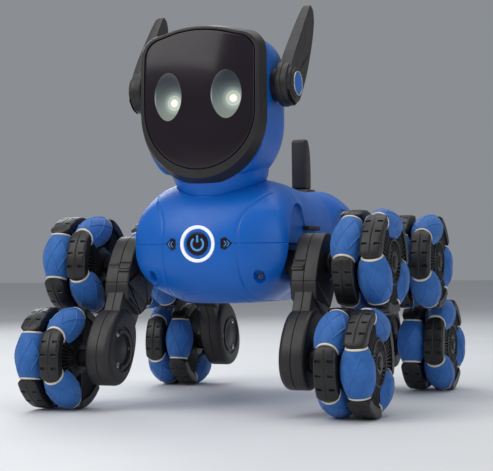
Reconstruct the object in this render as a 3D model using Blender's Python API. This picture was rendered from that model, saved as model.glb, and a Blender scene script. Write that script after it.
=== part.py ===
"""Toy robot dog that rides on eight omni wheels, in metres, +Z up.

The robot faces -Y and its own left side is +X. The floor is z = 0, and the origin is on it, midway
between the four hips. Each leg turns on its hip and carries two wheels: one on the hip's own axis,
and one at the far end of the arm, driven by a belt inside the leg.
"""

import math

import bmesh
import bpy
from mathutils import Matrix, Vector

# Wheels
WHEEL_RADIUS = 0.035
WHEEL_CENTRE_X = 0.10595
ROW_OFFSET = 0.00935  # from the wheel's middle to the middle of each row of rollers
ROLLERS_PER_ROW = 3
ROLLER_RADIUS = 0.0108
ROLLER_HALF_LENGTH = 0.0158
ROLLER_SIDES = 8
ROLLER_SEGMENTS = 2
TREAD_HALF_WIDTH = 0.0072
TREAD_HALF_ANGLE = math.radians(30)
TREAD_DEPTH = 0.006
TREAD_ARM_HALF_WIDTH = 0.006
HUB_RADIUS = 0.0155
HUB_HALF_WIDTH = 0.0165
BORE_RADIUS = 0.0030
# Where the first outer roller of each wheel stands, in degrees above straight ahead
WHEEL_TURNS = {
    "front_right_lower_wheel": 7,
    "front_right_upper_wheel": 14,
    "front_left_upper_wheel": -25,
    "front_left_lower_wheel": -10,
    "rear_left_upper_wheel": 70,
    "rear_left_lower_wheel": 68,
    "rear_right_lower_wheel": 68,
    "rear_right_upper_wheel": 20,
}

# Legs
ARM_LENGTH = 0.0743
ARM_LEAN = math.radians(31.2)
HIP_Y = 0.06215
HIP_Z = WHEEL_RADIUS + ARM_LENGTH * math.cos(ARM_LEAN)
LEG_X = 0.0665  # the seam between a leg's two half shells
LEG_HALF_THICKNESS = 0.009
NECK_HALF_THICKNESS = 0.006
THIGH_RADIUS = 0.0195
THIGH_HALF_WIDTH = 0.0180
THIGH_END = 0.0340
NECK_HALF_WIDTH = 0.0165
FOOT_RADIUS = 0.0205
FOOT_TOP_CENTRE = 0.0590
LEG_CAVITY_RADIUS = 0.0130
LEG_CAVITY_HALF_THICKNESS = 0.0040
INNER_EDGE = 0.0035
OUTER_EDGE = 0.0018
HIP_TUBE_RADIUS = 0.0090
HIP_TUBE_END_X = 0.0450
AXLE_RADIUS = 0.0026
AXLE_COLLAR_RADIUS = 0.0070
PULLEY_RADIUS = 0.0080
PULLEY_HALF_WIDTH = 0.0032
BELT_THICKNESS = 0.0012
BELT_HALF_WIDTH = 0.0026

# Torso
SEAM_Z = 0.112
TORSO_FRONT_Y = -0.1056
TORSO_REAR_Y = 0.1100
FLANK_X = 0.0560
WAIST_X = 0.0500
BELLY_Z = 0.072
DOME_TOP_Z = 0.1582
SADDLE_Z = 0.1535
RUMP_Z = 0.1525
CHEST_X = 0.0680
CHEST_LENGTH = 0.0450
RUMP_X = 0.0640
RUMP_LENGTH = 0.0495
SHOULDER_Y = 0.0610  # where the ends start to round off
WAIST_HALF_LENGTH = 0.0280
WAIST_BLEND = 0.0260
DOME_FRONT_Y = -0.0500
DOME_LENGTH = 0.0560
DOME_REAR_Y = -0.0300
SADDLE_Y = 0.0200
RUMP_Y = 0.0700
RUMP_DROP = 0.0405
RUMP_POWER = 2.3
ROUND_POWER = 2.3
SQUARE_POWER = 3.2
RUMP_SIDE_POWER = 2.5
SQUARE_LENGTH = 0.0450
SQUARE_REAR_Y = 0.0400
SQUARE_REAR_LENGTH = 0.0600
BELLY_SINK = 0.0030
BELLY_FRONT_Y = -0.0400
BELLY_FRONT_LENGTH = 0.0660
BELLY_REAR_Y = 0.0500
BELLY_REAR_LENGTH = 0.0605
BELLY_POWER = 2.6
HAUNCH_HEIGHT = 0.0040
HAUNCH_X = 0.030
HAUNCH_Y = 0.080
WALL = 0.0026
CAVITY_HALF_WIDTH = 0.0460
CAVITY_TOP_Z = 0.1395
CAVITY_REAR_Y = 0.1030
RECESS_X = 0.0490
RECESS_RADIUS_Y = 0.0300
RECESS_RADIUS_Z = 0.0410
RECESS_SHIFT_Y = 0.0080  # the recess is this much nearer the waist than the hip
NECK_Y = -0.065
NECK_WELL_RADIUS = 0.0303
NECK_WELL_FLOOR_Z = 0.1427
NECK_HOLE_RADIUS = 0.0045
NECK_RING_HEIGHT = 0.0026
EMBLEM_Z = SEAM_Z
LIGHT_RING_RADIUS = 0.0123
LIGHT_RING_INNER_RADIUS = 0.0101
LIGHT_RING_DEPTH = 0.0048
BUTTON_RISE = 0.0004
BUTTON_FLANGE = 0.0012
BUTTON_FLANGE_DEPTH = 0.0014
BUTTON_CLEARANCE = 0.0006  # the flange behind the ring
ARROW_X = 0.020
ARROW_Y = (TORSO_FRONT_Y + 0.0012, TORSO_FRONT_Y + 0.0052)
ARROW_HALF_WIDTH = 0.0037
ARROW_HALF_HEIGHT = 0.0042
ARROW_SHOULDER = 0.20  # how far behind the middle, against its half width
ARROW_TAIL = 0.75  # the tail's height against the arrow's
BATTERY_COVER_HALF = (0.024, 0.032)
SWITCH_Y = 0.060
SWITCH_TRAVEL = 0.004
SWITCH_HALF = (0.0026, 0.0022)
SWITCH_TOP = 0.0060  # above the belly, inside
SWITCH_KNOB = 0.0010  # below the belly, outside
SWITCH_SLOT_DEPTH = 0.005

# Inside the torso
DRIVE_BORE_END_X = 0.0340
DRIVE_SHOULDER_X = 0.0380
DRIVE_INNER_X = 0.0060
DRIVE_RADIUS = 0.0105
DRIVE_NOSE_RADIUS = 0.0070
DRIVE_GAP = 0.0012  # between the hip tube and the motor behind it
NECK_MOTOR_PROFILE = ((0.1160, 0.0130), (0.1350, 0.0130), (0.1350, 0.0036), (0.1500, 0.0036))
SPEAKER_PROFILE = ((0.0780, 0.0080), (0.0840, 0.0080), (0.0900, 0.0145), (0.0920, 0.0145))
BATTERY_LOW = (-0.0220, -0.0300, BELLY_Z + 0.0035)
BATTERY_HIGH = (0.0220, 0.0300, BELLY_Z + 0.0220)
BOARD_LOW = (-0.0340, -0.0400, 0.1000)
BOARD_HIGH = (0.0340, 0.0400, 0.1016)

# Head
FACE_Y = -0.1040
FACE_CORNER = 0.0150
BEZEL_BACK_Y = -0.0926
BEZEL_EDGE = 0.0020
BEZEL_EDGE_DEPTH = 0.0030
BEZEL_HALF_WIDTH = 0.0452
BEZEL_TOP_Z = 0.2582
BROW_RISE = 0.0046
BEZEL_BOTTOM_Z = 0.1515
SCREEN_Y = FACE_Y + 0.0012
SCREEN_THICKNESS = 0.0040
SCREEN_HALF_WIDTH = 0.0402
SCREEN_TOP_Z = 0.2550
SCREEN_BOTTOM_Z = 0.1615
HEAD_SEAM_Y = -0.0520
HEAD_FULL_Y = -0.0660  # the head is at its full size up to here
HEAD_HALF_WIDTH = 0.0445
HEAD_MIDDLE_Z = 0.2060
HEAD_LOW_Z = 0.1485
HEAD_BACK_Y = -0.0245
HEAD_TOP_Z = 0.2583
HEAD_UNDERSIDE_Z = 0.1588
HEAD_BACK_FLAT = 0.0008
HEAD_BACK_WALL = 0.0040
NECK_BORE_RADIUS = 0.0200
NECK_BORE_TOP_Z = 0.1800
NECK_RADIUS = 0.0270
NECK_TOP_Z = 0.1640
NECK_BOTTOM_Z = 0.1440
EYE_X = 0.021
EYE_Z = 0.2106
EYE_HALF_WIDTH = 0.0105
EYE_HALF_HEIGHT = 0.01625
EYE_THICKNESS = 0.0011
LIGHT_BOARD_LOW = (-0.0300, SCREEN_Y + 0.0060, 0.1780)
LIGHT_BOARD_HIGH = (0.0300, SCREEN_Y + 0.0076, 0.2400)
EAR_Y = -0.0735
EAR_Z = 0.2186
EAR_LEAN = math.radians(33)
EAR_PIN_RADIUS = 0.0035
EAR_BOSS_RADIUS = 0.0150
EAR_BOSS_PROFILE = (  # x and radius: pin, shoulder, disc
    (0.0370, EAR_PIN_RADIUS),
    (0.0450, EAR_PIN_RADIUS),
    (0.0450, 0.0115),
    (0.0492, 0.0115),
    (0.0492, EAR_BOSS_RADIUS),
    (0.0572, EAR_BOSS_RADIUS),
    (0.0590, EAR_BOSS_RADIUS - 0.0028),
)
EAR_CAP_PROFILE = ((0.0593, 0.0085), (0.0606, 0.0078))
EAR_BLADE_ROWS = (  # up the blade, inner and outer x, front and rear
    (0.0000, 0.0502, 0.0582, -0.0126, 0.0140),
    (0.0200, 0.0506, 0.0588, -0.0117, 0.0148),
    (0.0400, 0.0515, 0.0588, -0.0089, 0.0131),
    (0.0550, 0.0523, 0.0588, -0.0066, 0.0106),
    (0.0685, 0.0535, 0.0582, -0.0032, 0.0035),
)

# Tail
TAIL_FRONT_Y = 0.0965
TAIL_REAR_Y = 0.1105
TAIL_TOP_Z = 0.1975
TAIL_HALF_WIDTH = 0.0060
TAIL_FRONT_CORNER = 0.0020
TAIL_REAR_CORNER = 0.0065
TAIL_BASE_FRONT_Y = 0.0840
TAIL_BASE_REAR_Y = 0.1125
TAIL_BASE_LOW_Z = 0.1360
TAIL_BASE_TOP_Z = 0.1575
TAIL_BASE_HALF_WIDTH = 0.0090
TAIL_BASE_SLOPE = 0.0100
TAIL_BASE_SINK = 0.0040  # the slope's foot below the rump

GAP = 0.0003  # between pieces that touch
RUNNING_GAP = 0.0004  # around a piece that turns or slides
REACH = 0.02  # how far a cutter runs past what it cuts

SIDES = {"left": 1, "right": -1}
ENDS = {"front": -1, "rear": 1}


# ---------------------------------------------------------------- mesh tools


def loft(name, rings, closed=False):
    """A closed mesh through rings of equally many points, its ends capped, or joined if it is closed."""
    shape = bmesh.new()
    rows = [[shape.verts.new(point) for point in ring] for ring in rings]
    for low, high in zip(rows, rows[1:] + rows[:1] if closed else rows[1:]):
        for i in range(len(low)):
            j = (i + 1) % len(low)
            shape.faces.new((low[i], low[j], high[j], high[i]))
    if not closed:
        shape.faces.new(rows[0][::-1])
        shape.faces.new(rows[-1])
    bmesh.ops.recalc_face_normals(shape, faces=shape.faces)
    mesh = bpy.data.meshes.new(name)
    shape.to_mesh(mesh)
    shape.free()
    return mesh


def on_axis(axis, along, first, second):
    """The point at `along` on the named axis, with the other two coordinates in order."""
    if axis == "X":
        return (along, first, second)
    if axis == "Y":
        return (first, along, second)
    return (first, second, along)


def prism(name, outline, axis, low, high):
    """A flat outline pushed along an axis from low to high."""
    return loft(name, [[on_axis(axis, at, a, b) for a, b in outline] for at in (low, high)])


def block(name, low, high):
    outline = [(low[0], low[1]), (high[0], low[1]), (high[0], high[1]), (low[0], high[1])]
    return prism(name, outline, "Z", low[2], high[2])


def arc(centre, radii, start, end, steps):
    """Points on an ellipse's arc, from one angle to the other, both included."""
    points = []
    for i in range(steps + 1):
        angle = start + (end - start) * i / steps
        points.append((centre[0] + radii[0] * math.cos(angle), centre[1] + radii[1] * math.sin(angle)))
    return points


def circle(centre, radius, steps):
    return arc(centre, (radius, radius), 0, 2 * math.pi, steps)[:-1]


def turned(name, profile, axis, steps, centre=(0, 0), closed=False):
    """A shape turned about an axis. The profile lists (place along the axis, radius)."""
    rings = [[on_axis(axis, at, a, b) for a, b in circle(centre, radius, steps)] for at, radius in profile]
    return loft(name, rings, closed)


def combined(mesh, operation, tools):
    """The mesh after a Boolean with each tool in turn. The tools are used up."""
    scene = bpy.context.scene
    base = bpy.data.objects.new("base", mesh)
    scene.collection.objects.link(base)
    helpers = []
    for tool in tools:
        helper = bpy.data.objects.new("tool", tool)
        scene.collection.objects.link(helper)
        modifier = base.modifiers.new("Boolean", "BOOLEAN")
        modifier.operation = operation
        modifier.object = helper
        helpers.append(helper)
    bpy.context.view_layer.update()
    result = bpy.data.meshes.new_from_object(base.evaluated_get(bpy.context.evaluated_depsgraph_get()))
    result.name = mesh.name
    for helper in [base] + helpers:
        used = helper.data
        bpy.data.objects.remove(helper)
        bpy.data.meshes.remove(used)
    return result


def joined(mesh, *tools):
    return combined(mesh, "UNION", tools)


def cut(mesh, *tools):
    return combined(mesh, "DIFFERENCE", tools)


def mirrored(mesh):
    """A copy of a left-hand mesh for the right-hand side."""
    twin = mesh.copy()
    twin.transform(Matrix.Scale(-1, 4, (1, 0, 0)))
    twin.flip_normals()
    return twin


def for_side(mesh, side):
    return mesh if side > 0 else mirrored(mesh)


def turned_about_x(mesh, angle, centre=(0, 0, 0)):
    there = Matrix.Translation(Vector(centre))
    mesh.transform(there @ Matrix.Rotation(angle, 4, "X") @ there.inverted())
    return mesh


# ---------------------------------------------------------------- objects and materials


def material(name, colour, roughness, metallic=0.0):
    made = bpy.data.materials.new(name)
    made.use_nodes = True
    shader = made.node_tree.nodes["Principled BSDF"]
    shader.inputs["Base Color"].default_value = (*colour, 1)
    shader.inputs["Roughness"].default_value = roughness
    shader.inputs["Metallic"].default_value = metallic
    made.diffuse_color = (*colour, 1)
    return made


BLUE = (0.012, 0.115, 0.52)
RUBBER_BLUE = (0.03, 0.17, 0.50)
DARK = (0.035, 0.034, 0.036)
STEEL = (0.55, 0.55, 0.56)
GREEN = (0.02, 0.25, 0.08)
CREAM = (0.78, 0.74, 0.66)


def add(name, mesh, colour, roughness, metallic=0.0, place=(0, 0, 0), parent=None, turn_x=0.0):
    """One named object for one sub-part, with its own material."""
    mesh.name = name
    piece = bpy.data.objects.new(name, mesh)
    bpy.context.scene.collection.objects.link(piece)
    piece.parent = parent
    piece.location = place
    piece.rotation_euler = (turn_x, 0, 0)
    if not mesh.materials:
        mesh.materials.append(material(name, colour, roughness, metallic))
    mesh.shade_smooth()
    mesh.set_sharp_from_angle(angle=math.radians(35))
    return piece


def add_pivot(name, place, parent=None, turn_x=0.0):
    """An empty on a joint's axis, which the pieces that turn with it hang from."""
    pivot = bpy.data.objects.new(name, None)
    bpy.context.scene.collection.objects.link(pivot)
    pivot.parent = parent
    pivot.location = place
    pivot.rotation_euler = (turn_x, 0, 0)
    return pivot


# ---------------------------------------------------------------- wheels


def roller_mesh(x, angle):
    """A barrel whose crown follows the wheel's rim. The angle is above straight ahead, -Y."""
    axis_distance = WHEEL_RADIUS - ROLLER_RADIUS
    profile = []
    for step in range(ROLLER_SEGMENTS + 1):
        along = ROLLER_HALF_LENGTH * (2 * step / ROLLER_SEGMENTS - 1)
        profile.append((along, math.sqrt(WHEEL_RADIUS**2 - along**2) - axis_distance))
    mesh = turned("roller", profile, "Z", ROLLER_SIDES, centre=(x, -axis_distance))
    return turned_about_x(mesh, -angle)


def tread_mesh(x, angle):
    """A curved tread block at the rim, and the arm that joins it to the hub."""
    rim = arc((0, 0), (WHEEL_RADIUS, WHEEL_RADIUS), -TREAD_HALF_ANGLE, TREAD_HALF_ANGLE, 3)
    inside_radius = WHEEL_RADIUS - TREAD_DEPTH
    inside = arc((0, 0), (inside_radius, inside_radius), TREAD_HALF_ANGLE, -TREAD_HALF_ANGLE, 1)
    outline = [(-along, up) for along, up in rim + inside]
    tread = prism("tread", outline, "X", x - TREAD_HALF_WIDTH, x + TREAD_HALF_WIDTH)
    arm_low = (x - TREAD_HALF_WIDTH / 2, -inside_radius - TREAD_DEPTH / 2, -TREAD_ARM_HALF_WIDTH)
    arm_high = (x + TREAD_HALF_WIDTH / 2, -HUB_RADIUS / 2, TREAD_ARM_HALF_WIDTH)
    arm = block("tread_arm", arm_low, arm_high)
    return turned_about_x(tread, -angle), turned_about_x(arm, -angle)


def wheel_mesh():
    """Hub, two rows of rollers and treads half a step apart, and the bore for the axle. Outer side at +X."""
    profile = [(-HUB_HALF_WIDTH, HUB_RADIUS), (HUB_HALF_WIDTH, HUB_RADIUS)]
    hub = turned("hub", profile, "X", 14)
    step = 2 * math.pi / ROLLERS_PER_ROW
    pieces = []
    for row, shift in ((1, 0), (-1, step / 2)):
        for i in range(ROLLERS_PER_ROW):
            pieces.append(roller_mesh(row * ROW_OFFSET, i * step + shift))
            pieces.extend(tread_mesh(row * ROW_OFFSET, (i + 0.5) * step + shift))
    hub = joined(hub, *pieces)
    reach = HUB_HALF_WIDTH + REACH
    return cut(hub, turned("bore", [(-reach, BORE_RADIUS), (reach, BORE_RADIUS)], "X", 12))


def axle_mesh(inner_x):
    """Shaft with its pulley, its collar between leg and wheel, and its outer head. X is the robot's own."""
    pulley_low, pulley_high = LEG_X - PULLEY_HALF_WIDTH, LEG_X + PULLEY_HALF_WIDTH
    collar_low = LEG_X + LEG_HALF_THICKNESS + RUNNING_GAP
    wheel_low = WHEEL_CENTRE_X - HUB_HALF_WIDTH - GAP
    wheel_high = WHEEL_CENTRE_X + HUB_HALF_WIDTH + GAP
    head_high = wheel_high + 0.0020
    profile = [
        (inner_x, AXLE_RADIUS),
        (pulley_low, AXLE_RADIUS),
        (pulley_low, PULLEY_RADIUS),
        (pulley_high, PULLEY_RADIUS),
        (pulley_high, AXLE_RADIUS),
        (collar_low, AXLE_RADIUS),
        (collar_low, AXLE_COLLAR_RADIUS),
        (wheel_low, AXLE_COLLAR_RADIUS),
        (wheel_low, AXLE_RADIUS),
        (wheel_high, AXLE_RADIUS),
        (wheel_high, AXLE_COLLAR_RADIUS),
        (head_high, AXLE_COLLAR_RADIUS * 0.85),
    ]
    return turned("axle", [(x - LEG_X, radius) for x, radius in profile], "X", 10)


# ---------------------------------------------------------------- legs, hanging straight down from the hip


def capsule(radius, top, bottom, steps):
    """Outline of a stadium between two centres at depths top and bottom below the hip, as (y, z)."""
    upper = arc((0, -top), (radius, radius), 0, math.pi, steps)
    lower = arc((0, -bottom), (radius, radius), math.pi, 2 * math.pi, steps)
    return upper + lower


def thigh(inset):
    radius = THIGH_RADIUS - inset
    half_width = THIGH_HALF_WIDTH - inset
    end = inset - THIGH_END
    return arc((0, 0), (radius, radius), 0, math.pi, 7) + [(-half_width, end), (half_width, end)]


def edged(name, outline, face, back, edge):
    """A solid from its hidden back to its face, where a soft edge draws its outline in."""
    inward = math.copysign(edge, back - face)
    rows = ((back, 0), (face + inward, 0), (face, edge))
    return loft(name, [[(x, y, z) for y, z in outline(inset)] for x, inset in rows])


def foot_outline(inset):
    return capsule(FOOT_RADIUS - inset, FOOT_TOP_CENTRE, ARM_LENGTH, 7)


def leg_shell_mesh(outward, edge):
    """Half of a leg about its seam: outward is 1 for the wheel's side and -1 for the torso's side.

    Each solid starts at a different depth behind the seam, and one cut at the seam trims them all.
    """
    face = outward * LEG_HALF_THICKNESS
    foot = edged("foot", foot_outline, face, -face / 2, edge)
    body = edged("thigh", thigh, face, -face / 3, edge)
    half = NECK_HALF_WIDTH
    neck_top, neck_bottom = -THIGH_END / 2, -FOOT_TOP_CENTRE
    neck_outline = [(-half, neck_top), (-half, neck_bottom), (half, neck_bottom), (half, neck_top)]
    neck = prism("neck", neck_outline, "X", *sorted((-face / 4, outward * NECK_HALF_THICKNESS)))
    body = joined(body, neck, foot)
    if outward < 0:
        tube_end = HIP_TUBE_END_X - LEG_X
        tube = [(tube_end, HIP_TUBE_RADIUS), (face / 2, HIP_TUBE_RADIUS)]
        body = joined(body, turned("tube", tube, "X", 20))
    cavity_ends = sorted((outward * LEG_CAVITY_HALF_THICKNESS, -outward * REACH))
    cavity = prism("cavity", capsule(LEG_CAVITY_RADIUS, 0, ARM_LENGTH, 5), "X", *cavity_ends)
    beyond = 2 * ARM_LENGTH
    away_ends = sorted((outward * GAP / 2, -outward * 2 * REACH))
    away = block("away", (away_ends[0], -beyond, -beyond), (away_ends[1], beyond, beyond))
    hole = AXLE_RADIUS + RUNNING_GAP
    blind_end = 0.002 - LEG_HALF_THICKNESS
    bores = []
    for depth, inner_end in ((0, -LEG_X), (ARM_LENGTH, -LEG_X if outward > 0 else blind_end)):
        bores.append(turned("bore", [(inner_end, hole), (LEG_X, hole)], "X", 12, centre=(0, -depth)))
    return cut(body, away, cavity, *bores)


def belt_mesh():
    inner = capsule(PULLEY_RADIUS + GAP, 0, ARM_LENGTH, 6)
    outer = capsule(PULLEY_RADIUS + GAP + BELT_THICKNESS, 0, ARM_LENGTH, 6)
    half = BELT_HALF_WIDTH
    corners = ((inner, -half), (outer, -half), (outer, half), (inner, half))
    rings = [[(x, *outline[i]) for outline, x in corners] for i in range(len(inner))]
    return loft("belt", rings, closed=True)


def add_leg(end_name, end, side_name, side, meshes):
    prefix = f"{end_name}_{side_name}"
    hip = add_pivot(f"{prefix}_hip", (side * LEG_X, end * HIP_Y, HIP_Z), turn_x=end * ARM_LEAN)
    add(f"{prefix}_leg_outer_shell", meshes["outer"].copy(), DARK, 0.45, parent=hip)
    add(f"{prefix}_leg_inner_shell", meshes["inner"].copy(), DARK, 0.45, parent=hip)
    add(f"{prefix}_drive_belt", meshes["belt"].copy(), (0.01, 0.01, 0.01), 0.8, parent=hip)
    for level, depth in (("upper", 0), ("lower", ARM_LENGTH)):
        name = f"{prefix}_{level}_wheel"
        turn = -math.radians(WHEEL_TURNS[name]) - end * ARM_LEAN
        pivot = add_pivot(f"{name}_pivot", (0, 0, -depth), parent=hip, turn_x=turn)
        wheel_place = (side * (WHEEL_CENTRE_X - LEG_X), 0, 0)
        add(name, meshes["wheel"].copy(), RUBBER_BLUE, 0.6, place=wheel_place, parent=pivot)
        axle = meshes[f"{level}_axle"].copy()
        add(f"{prefix}_{level}_axle", axle, STEEL, 0.3, 1.0, parent=pivot)


def add_legs():
    left = {
        "outer": leg_shell_mesh(1, OUTER_EDGE),
        "inner": leg_shell_mesh(-1, INNER_EDGE),
        "belt": belt_mesh(),
        "wheel": wheel_mesh(),
        "upper_axle": axle_mesh(HIP_TUBE_END_X - 0.009),
        "lower_axle": axle_mesh(LEG_X - LEG_HALF_THICKNESS + 0.0026),
    }
    right = {name: mirrored(mesh) for name, mesh in left.items()}
    for side_name, side in SIDES.items():
        for end_name, end in ENDS.items():
            add_leg(end_name, end, side_name, side, left if side > 0 else right)


# ---------------------------------------------------------------- torso


def round_end(distance, length, power=2.0):
    """1 at the middle of a body, falling along a superellipse to 0 at its end."""
    return max(0.0, 1 - min(1.0, abs(distance) / length) ** power) ** (1 / power)


def blend(low, high, t):
    """A smooth step from low to high as t goes from 0 to 1."""
    t = min(1.0, max(0.0, t))
    return low + (high - low) * t * t * (3 - 2 * t)


def torso_half_width(y):
    front = CHEST_X * round_end(min(0, y + SHOULDER_Y), CHEST_LENGTH)
    rear = RUMP_X * round_end(max(0, y - SHOULDER_Y), RUMP_LENGTH)
    waist = blend(WAIST_X, FLANK_X, (abs(y) - WAIST_HALF_LENGTH) / WAIST_BLEND)
    return min(front, rear, waist)


def torso_top(y):
    """Height of the back's middle line: a dome round the neck, a slight saddle, and the rump."""
    if y < DOME_FRONT_Y:
        return SEAM_Z + (DOME_TOP_Z - SEAM_Z) * round_end(y - DOME_FRONT_Y, DOME_LENGTH)
    if y < DOME_REAR_Y:
        return DOME_TOP_Z
    if y < SADDLE_Y:
        return blend(DOME_TOP_Z, SADDLE_Z, (y - DOME_REAR_Y) / (SADDLE_Y - DOME_REAR_Y))
    if y < RUMP_Y:
        return blend(SADDLE_Z, RUMP_Z, (y - SADDLE_Y) / (RUMP_Y - SADDLE_Y))
    return SEAM_Z + (RUMP_Z - SEAM_Z) * round_end(y - RUMP_Y, RUMP_DROP, RUMP_POWER)


def torso_squareness(y):
    """Power of the upper half's superellipse: rounder at the ends, squarer at the waist."""
    toward_waist = (y - TORSO_FRONT_Y) / SQUARE_LENGTH
    toward_rump = (y - SQUARE_REAR_Y) / SQUARE_REAR_LENGTH
    return blend(ROUND_POWER, SQUARE_POWER, toward_waist) - blend(0, SQUARE_POWER - RUMP_SIDE_POWER, toward_rump)


def torso_bottom(y):
    depth = SEAM_Z - BELLY_Z + BELLY_SINK
    front = round_end(min(0, y - BELLY_FRONT_Y), BELLY_FRONT_LENGTH, BELLY_POWER)
    rear = round_end(max(0, y - BELLY_REAR_Y), BELLY_REAR_LENGTH, BELLY_POWER)
    return SEAM_Z - depth * min(front, rear)


def haunch(x, y):
    """How far the two haunches stand above the rump."""
    return HAUNCH_HEIGHT * math.exp(-(((abs(x) - HAUNCH_X) / 0.015) ** 2) - ((y - HAUNCH_Y) / 0.022) ** 2)


def torso_stations(front, rear):
    """Places along the body, close together where its ends round off."""
    stations = []
    for i in range(8):
        stations.append(front + (-0.050 - front) * (1 - math.cos(math.pi / 2 * i / 7)))
    stations += [-0.030, -0.010, 0.015, 0.040]
    for i in range(7):
        stations.append(rear - (rear - 0.055) * (1 - math.sin(math.pi / 2 * i / 6)))
    return stations


def torso_half(name, up, inset):
    """The upper (up = 1) or lower (up = -1) half of the torso, drawn in by an inset on every side."""
    steps = 12
    rings = []
    for y in torso_stations(TORSO_FRONT_Y + inset, CAVITY_REAR_Y if inset else TORSO_REAR_Y):
        power = torso_squareness(y) if up > 0 else 2.5
        width = torso_half_width(y) - inset
        height = (torso_top(y) if up > 0 else torso_bottom(y)) - SEAM_Z
        height -= up * inset
        if inset:
            width = min(width, CAVITY_HALF_WIDTH)
            if up > 0:
                height = min(height, CAVITY_TOP_Z - SEAM_Z)
        ring = []
        for i in range(steps + 1):
            angle = math.pi * i / steps
            across, rise = math.cos(angle), math.sin(angle)
            x = width * math.copysign(abs(across) ** (2 / power), across)
            z = height * rise ** (2 / power)
            if up > 0 and not inset:
                z += haunch(x, y) * rise
            if up < 0:
                z = max(z, BELLY_Z - SEAM_Z + inset)
            ring.append((x, y, SEAM_Z + z + (up * GAP / 2 if i in (0, steps) else 0)))
        rings.append(ring)
    if inset:
        for ring in rings:
            for i in (0, steps):
                x, y, _ = ring[i]
                ring[i] = (x, y, SEAM_Z - up * REACH / 4)
    return loft(name, rings)


def hip_recesses():
    cutters = []
    for side in SIDES.values():
        for end in ENDS.values():
            centre = (end * (HIP_Y - RECESS_SHIFT_Y), HIP_Z)
            outline = arc(centre, (RECESS_RADIUS_Y, RECESS_RADIUS_Z), 0, 2 * math.pi, 20)[:-1]
            low, high = sorted((side * RECESS_X, side * (FLANK_X + REACH)))
            cutters.append(prism("recess", outline, "X", low, high))
    return cutters


def hip_holes():
    holes = []
    radius = HIP_TUBE_RADIUS + RUNNING_GAP
    for side in SIDES.values():
        for end in ENDS.values():
            low, high = sorted((side * (HIP_TUBE_END_X - 0.010), side * (FLANK_X + REACH)))
            holes.append(turned("hole", [(low, radius), (high, radius)], "X", 20, centre=(end * HIP_Y, HIP_Z)))
    return holes


def arrow_outline(side, grow):
    """A blunt arrowhead that points outward, as (x, z)."""
    width, height = ARROW_HALF_WIDTH + grow, ARROW_HALF_HEIGHT + grow
    shoulder_x, tail_z = -width * ARROW_SHOULDER, height * ARROW_TAIL
    points = [(-width, -tail_z), (shoulder_x, -height), (width, 0), (shoulder_x, height), (-width, tail_z)]
    return [(side * (ARROW_X + x), EMBLEM_Z + z) for x, z in points]


def chest_pockets():
    """Cutters through the chest wall for the light ring and the two arrows."""
    depth = (TORSO_FRONT_Y - REACH, TORSO_FRONT_Y + 0.012)
    radius = LIGHT_RING_RADIUS + GAP
    pockets = [turned("pocket", [(y, radius) for y in depth], "Y", 24, centre=(0, EMBLEM_Z))]
    for side in SIDES.values():
        pockets.append(prism("pocket", arrow_outline(side, GAP), "Y", *depth))
    return pockets


def add_torso():
    upper = torso_half("torso_upper_shell", 1, 0)
    well_ends = [(NECK_WELL_FLOOR_Z, NECK_WELL_RADIUS), (DOME_TOP_Z + REACH, NECK_WELL_RADIUS)]
    well = turned("well", well_ends, "Z", 32, centre=(0, NECK_Y))
    hole_ends = [(SEAM_Z, NECK_HOLE_RADIUS), (DOME_TOP_Z, NECK_HOLE_RADIUS)]
    shaft_hole = turned("shaft_hole", hole_ends, "Z", 12, centre=(0, NECK_Y))
    cavity = torso_half("cavity", 1, WALL)
    upper = cut(upper, cavity, *hip_recesses(), well, shaft_hole, tail_base_mesh(GAP), *chest_pockets())
    add("torso_upper_shell", upper, BLUE, 0.35)

    lower = torso_half("torso_lower_shell", -1, 0)
    half_x, half_y = BATTERY_COVER_HALF
    hatch_low = (-half_x - GAP, -half_y - GAP, BELLY_Z - REACH)
    hatch_high = (half_x + GAP, half_y + GAP, BELLY_Z + REACH)
    hatch = block("hatch", hatch_low, hatch_high)
    slot_x, slot_y = (half + RUNNING_GAP for half in SWITCH_HALF)
    slot_low = (-slot_x, SWITCH_Y - slot_y, BELLY_Z - REACH)
    slot_high = (slot_x + SWITCH_TRAVEL, SWITCH_Y + slot_y, BELLY_Z + SWITCH_SLOT_DEPTH)
    slot = block("slot", slot_low, slot_high)
    cavity = torso_half("cavity", -1, WALL)
    lower = cut(lower, cavity, *hip_recesses(), *hip_holes(), *chest_pockets(), hatch, slot)
    add("torso_lower_shell", lower, BLUE, 0.35)


def add_chest():
    front = FACE_Y
    ring_back = front + LIGHT_RING_DEPTH
    profile = [
        (front, LIGHT_RING_INNER_RADIUS),
        (front, LIGHT_RING_RADIUS),
        (ring_back, LIGHT_RING_RADIUS),
        (ring_back, LIGHT_RING_INNER_RADIUS),
    ]
    ring = turned("ring", profile, "Y", 28, centre=(0, EMBLEM_Z), closed=True)
    add("chest_light_ring", ring, (0.9, 0.9, 0.95), 0.3)
    shaft = LIGHT_RING_INNER_RADIUS - RUNNING_GAP
    flange = ring_back + BUTTON_CLEARANCE
    profile = [
        (front - BUTTON_RISE, shaft),
        (flange, shaft),
        (flange, shaft + BUTTON_FLANGE),
        (flange + BUTTON_FLANGE_DEPTH, shaft + BUTTON_FLANGE),
    ]
    button = turned("button", [(y - front, radius) for y, radius in profile], "Y", 24)
    add("chest_button", button, BLUE, 0.35, place=(0, front, EMBLEM_Z))
    for side_name, side in SIDES.items():
        arrow = prism("arrow", arrow_outline(side, 0), "Y", *ARROW_Y)
        add(f"{side_name}_turn_light", arrow, DARK, 0.3)


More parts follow.
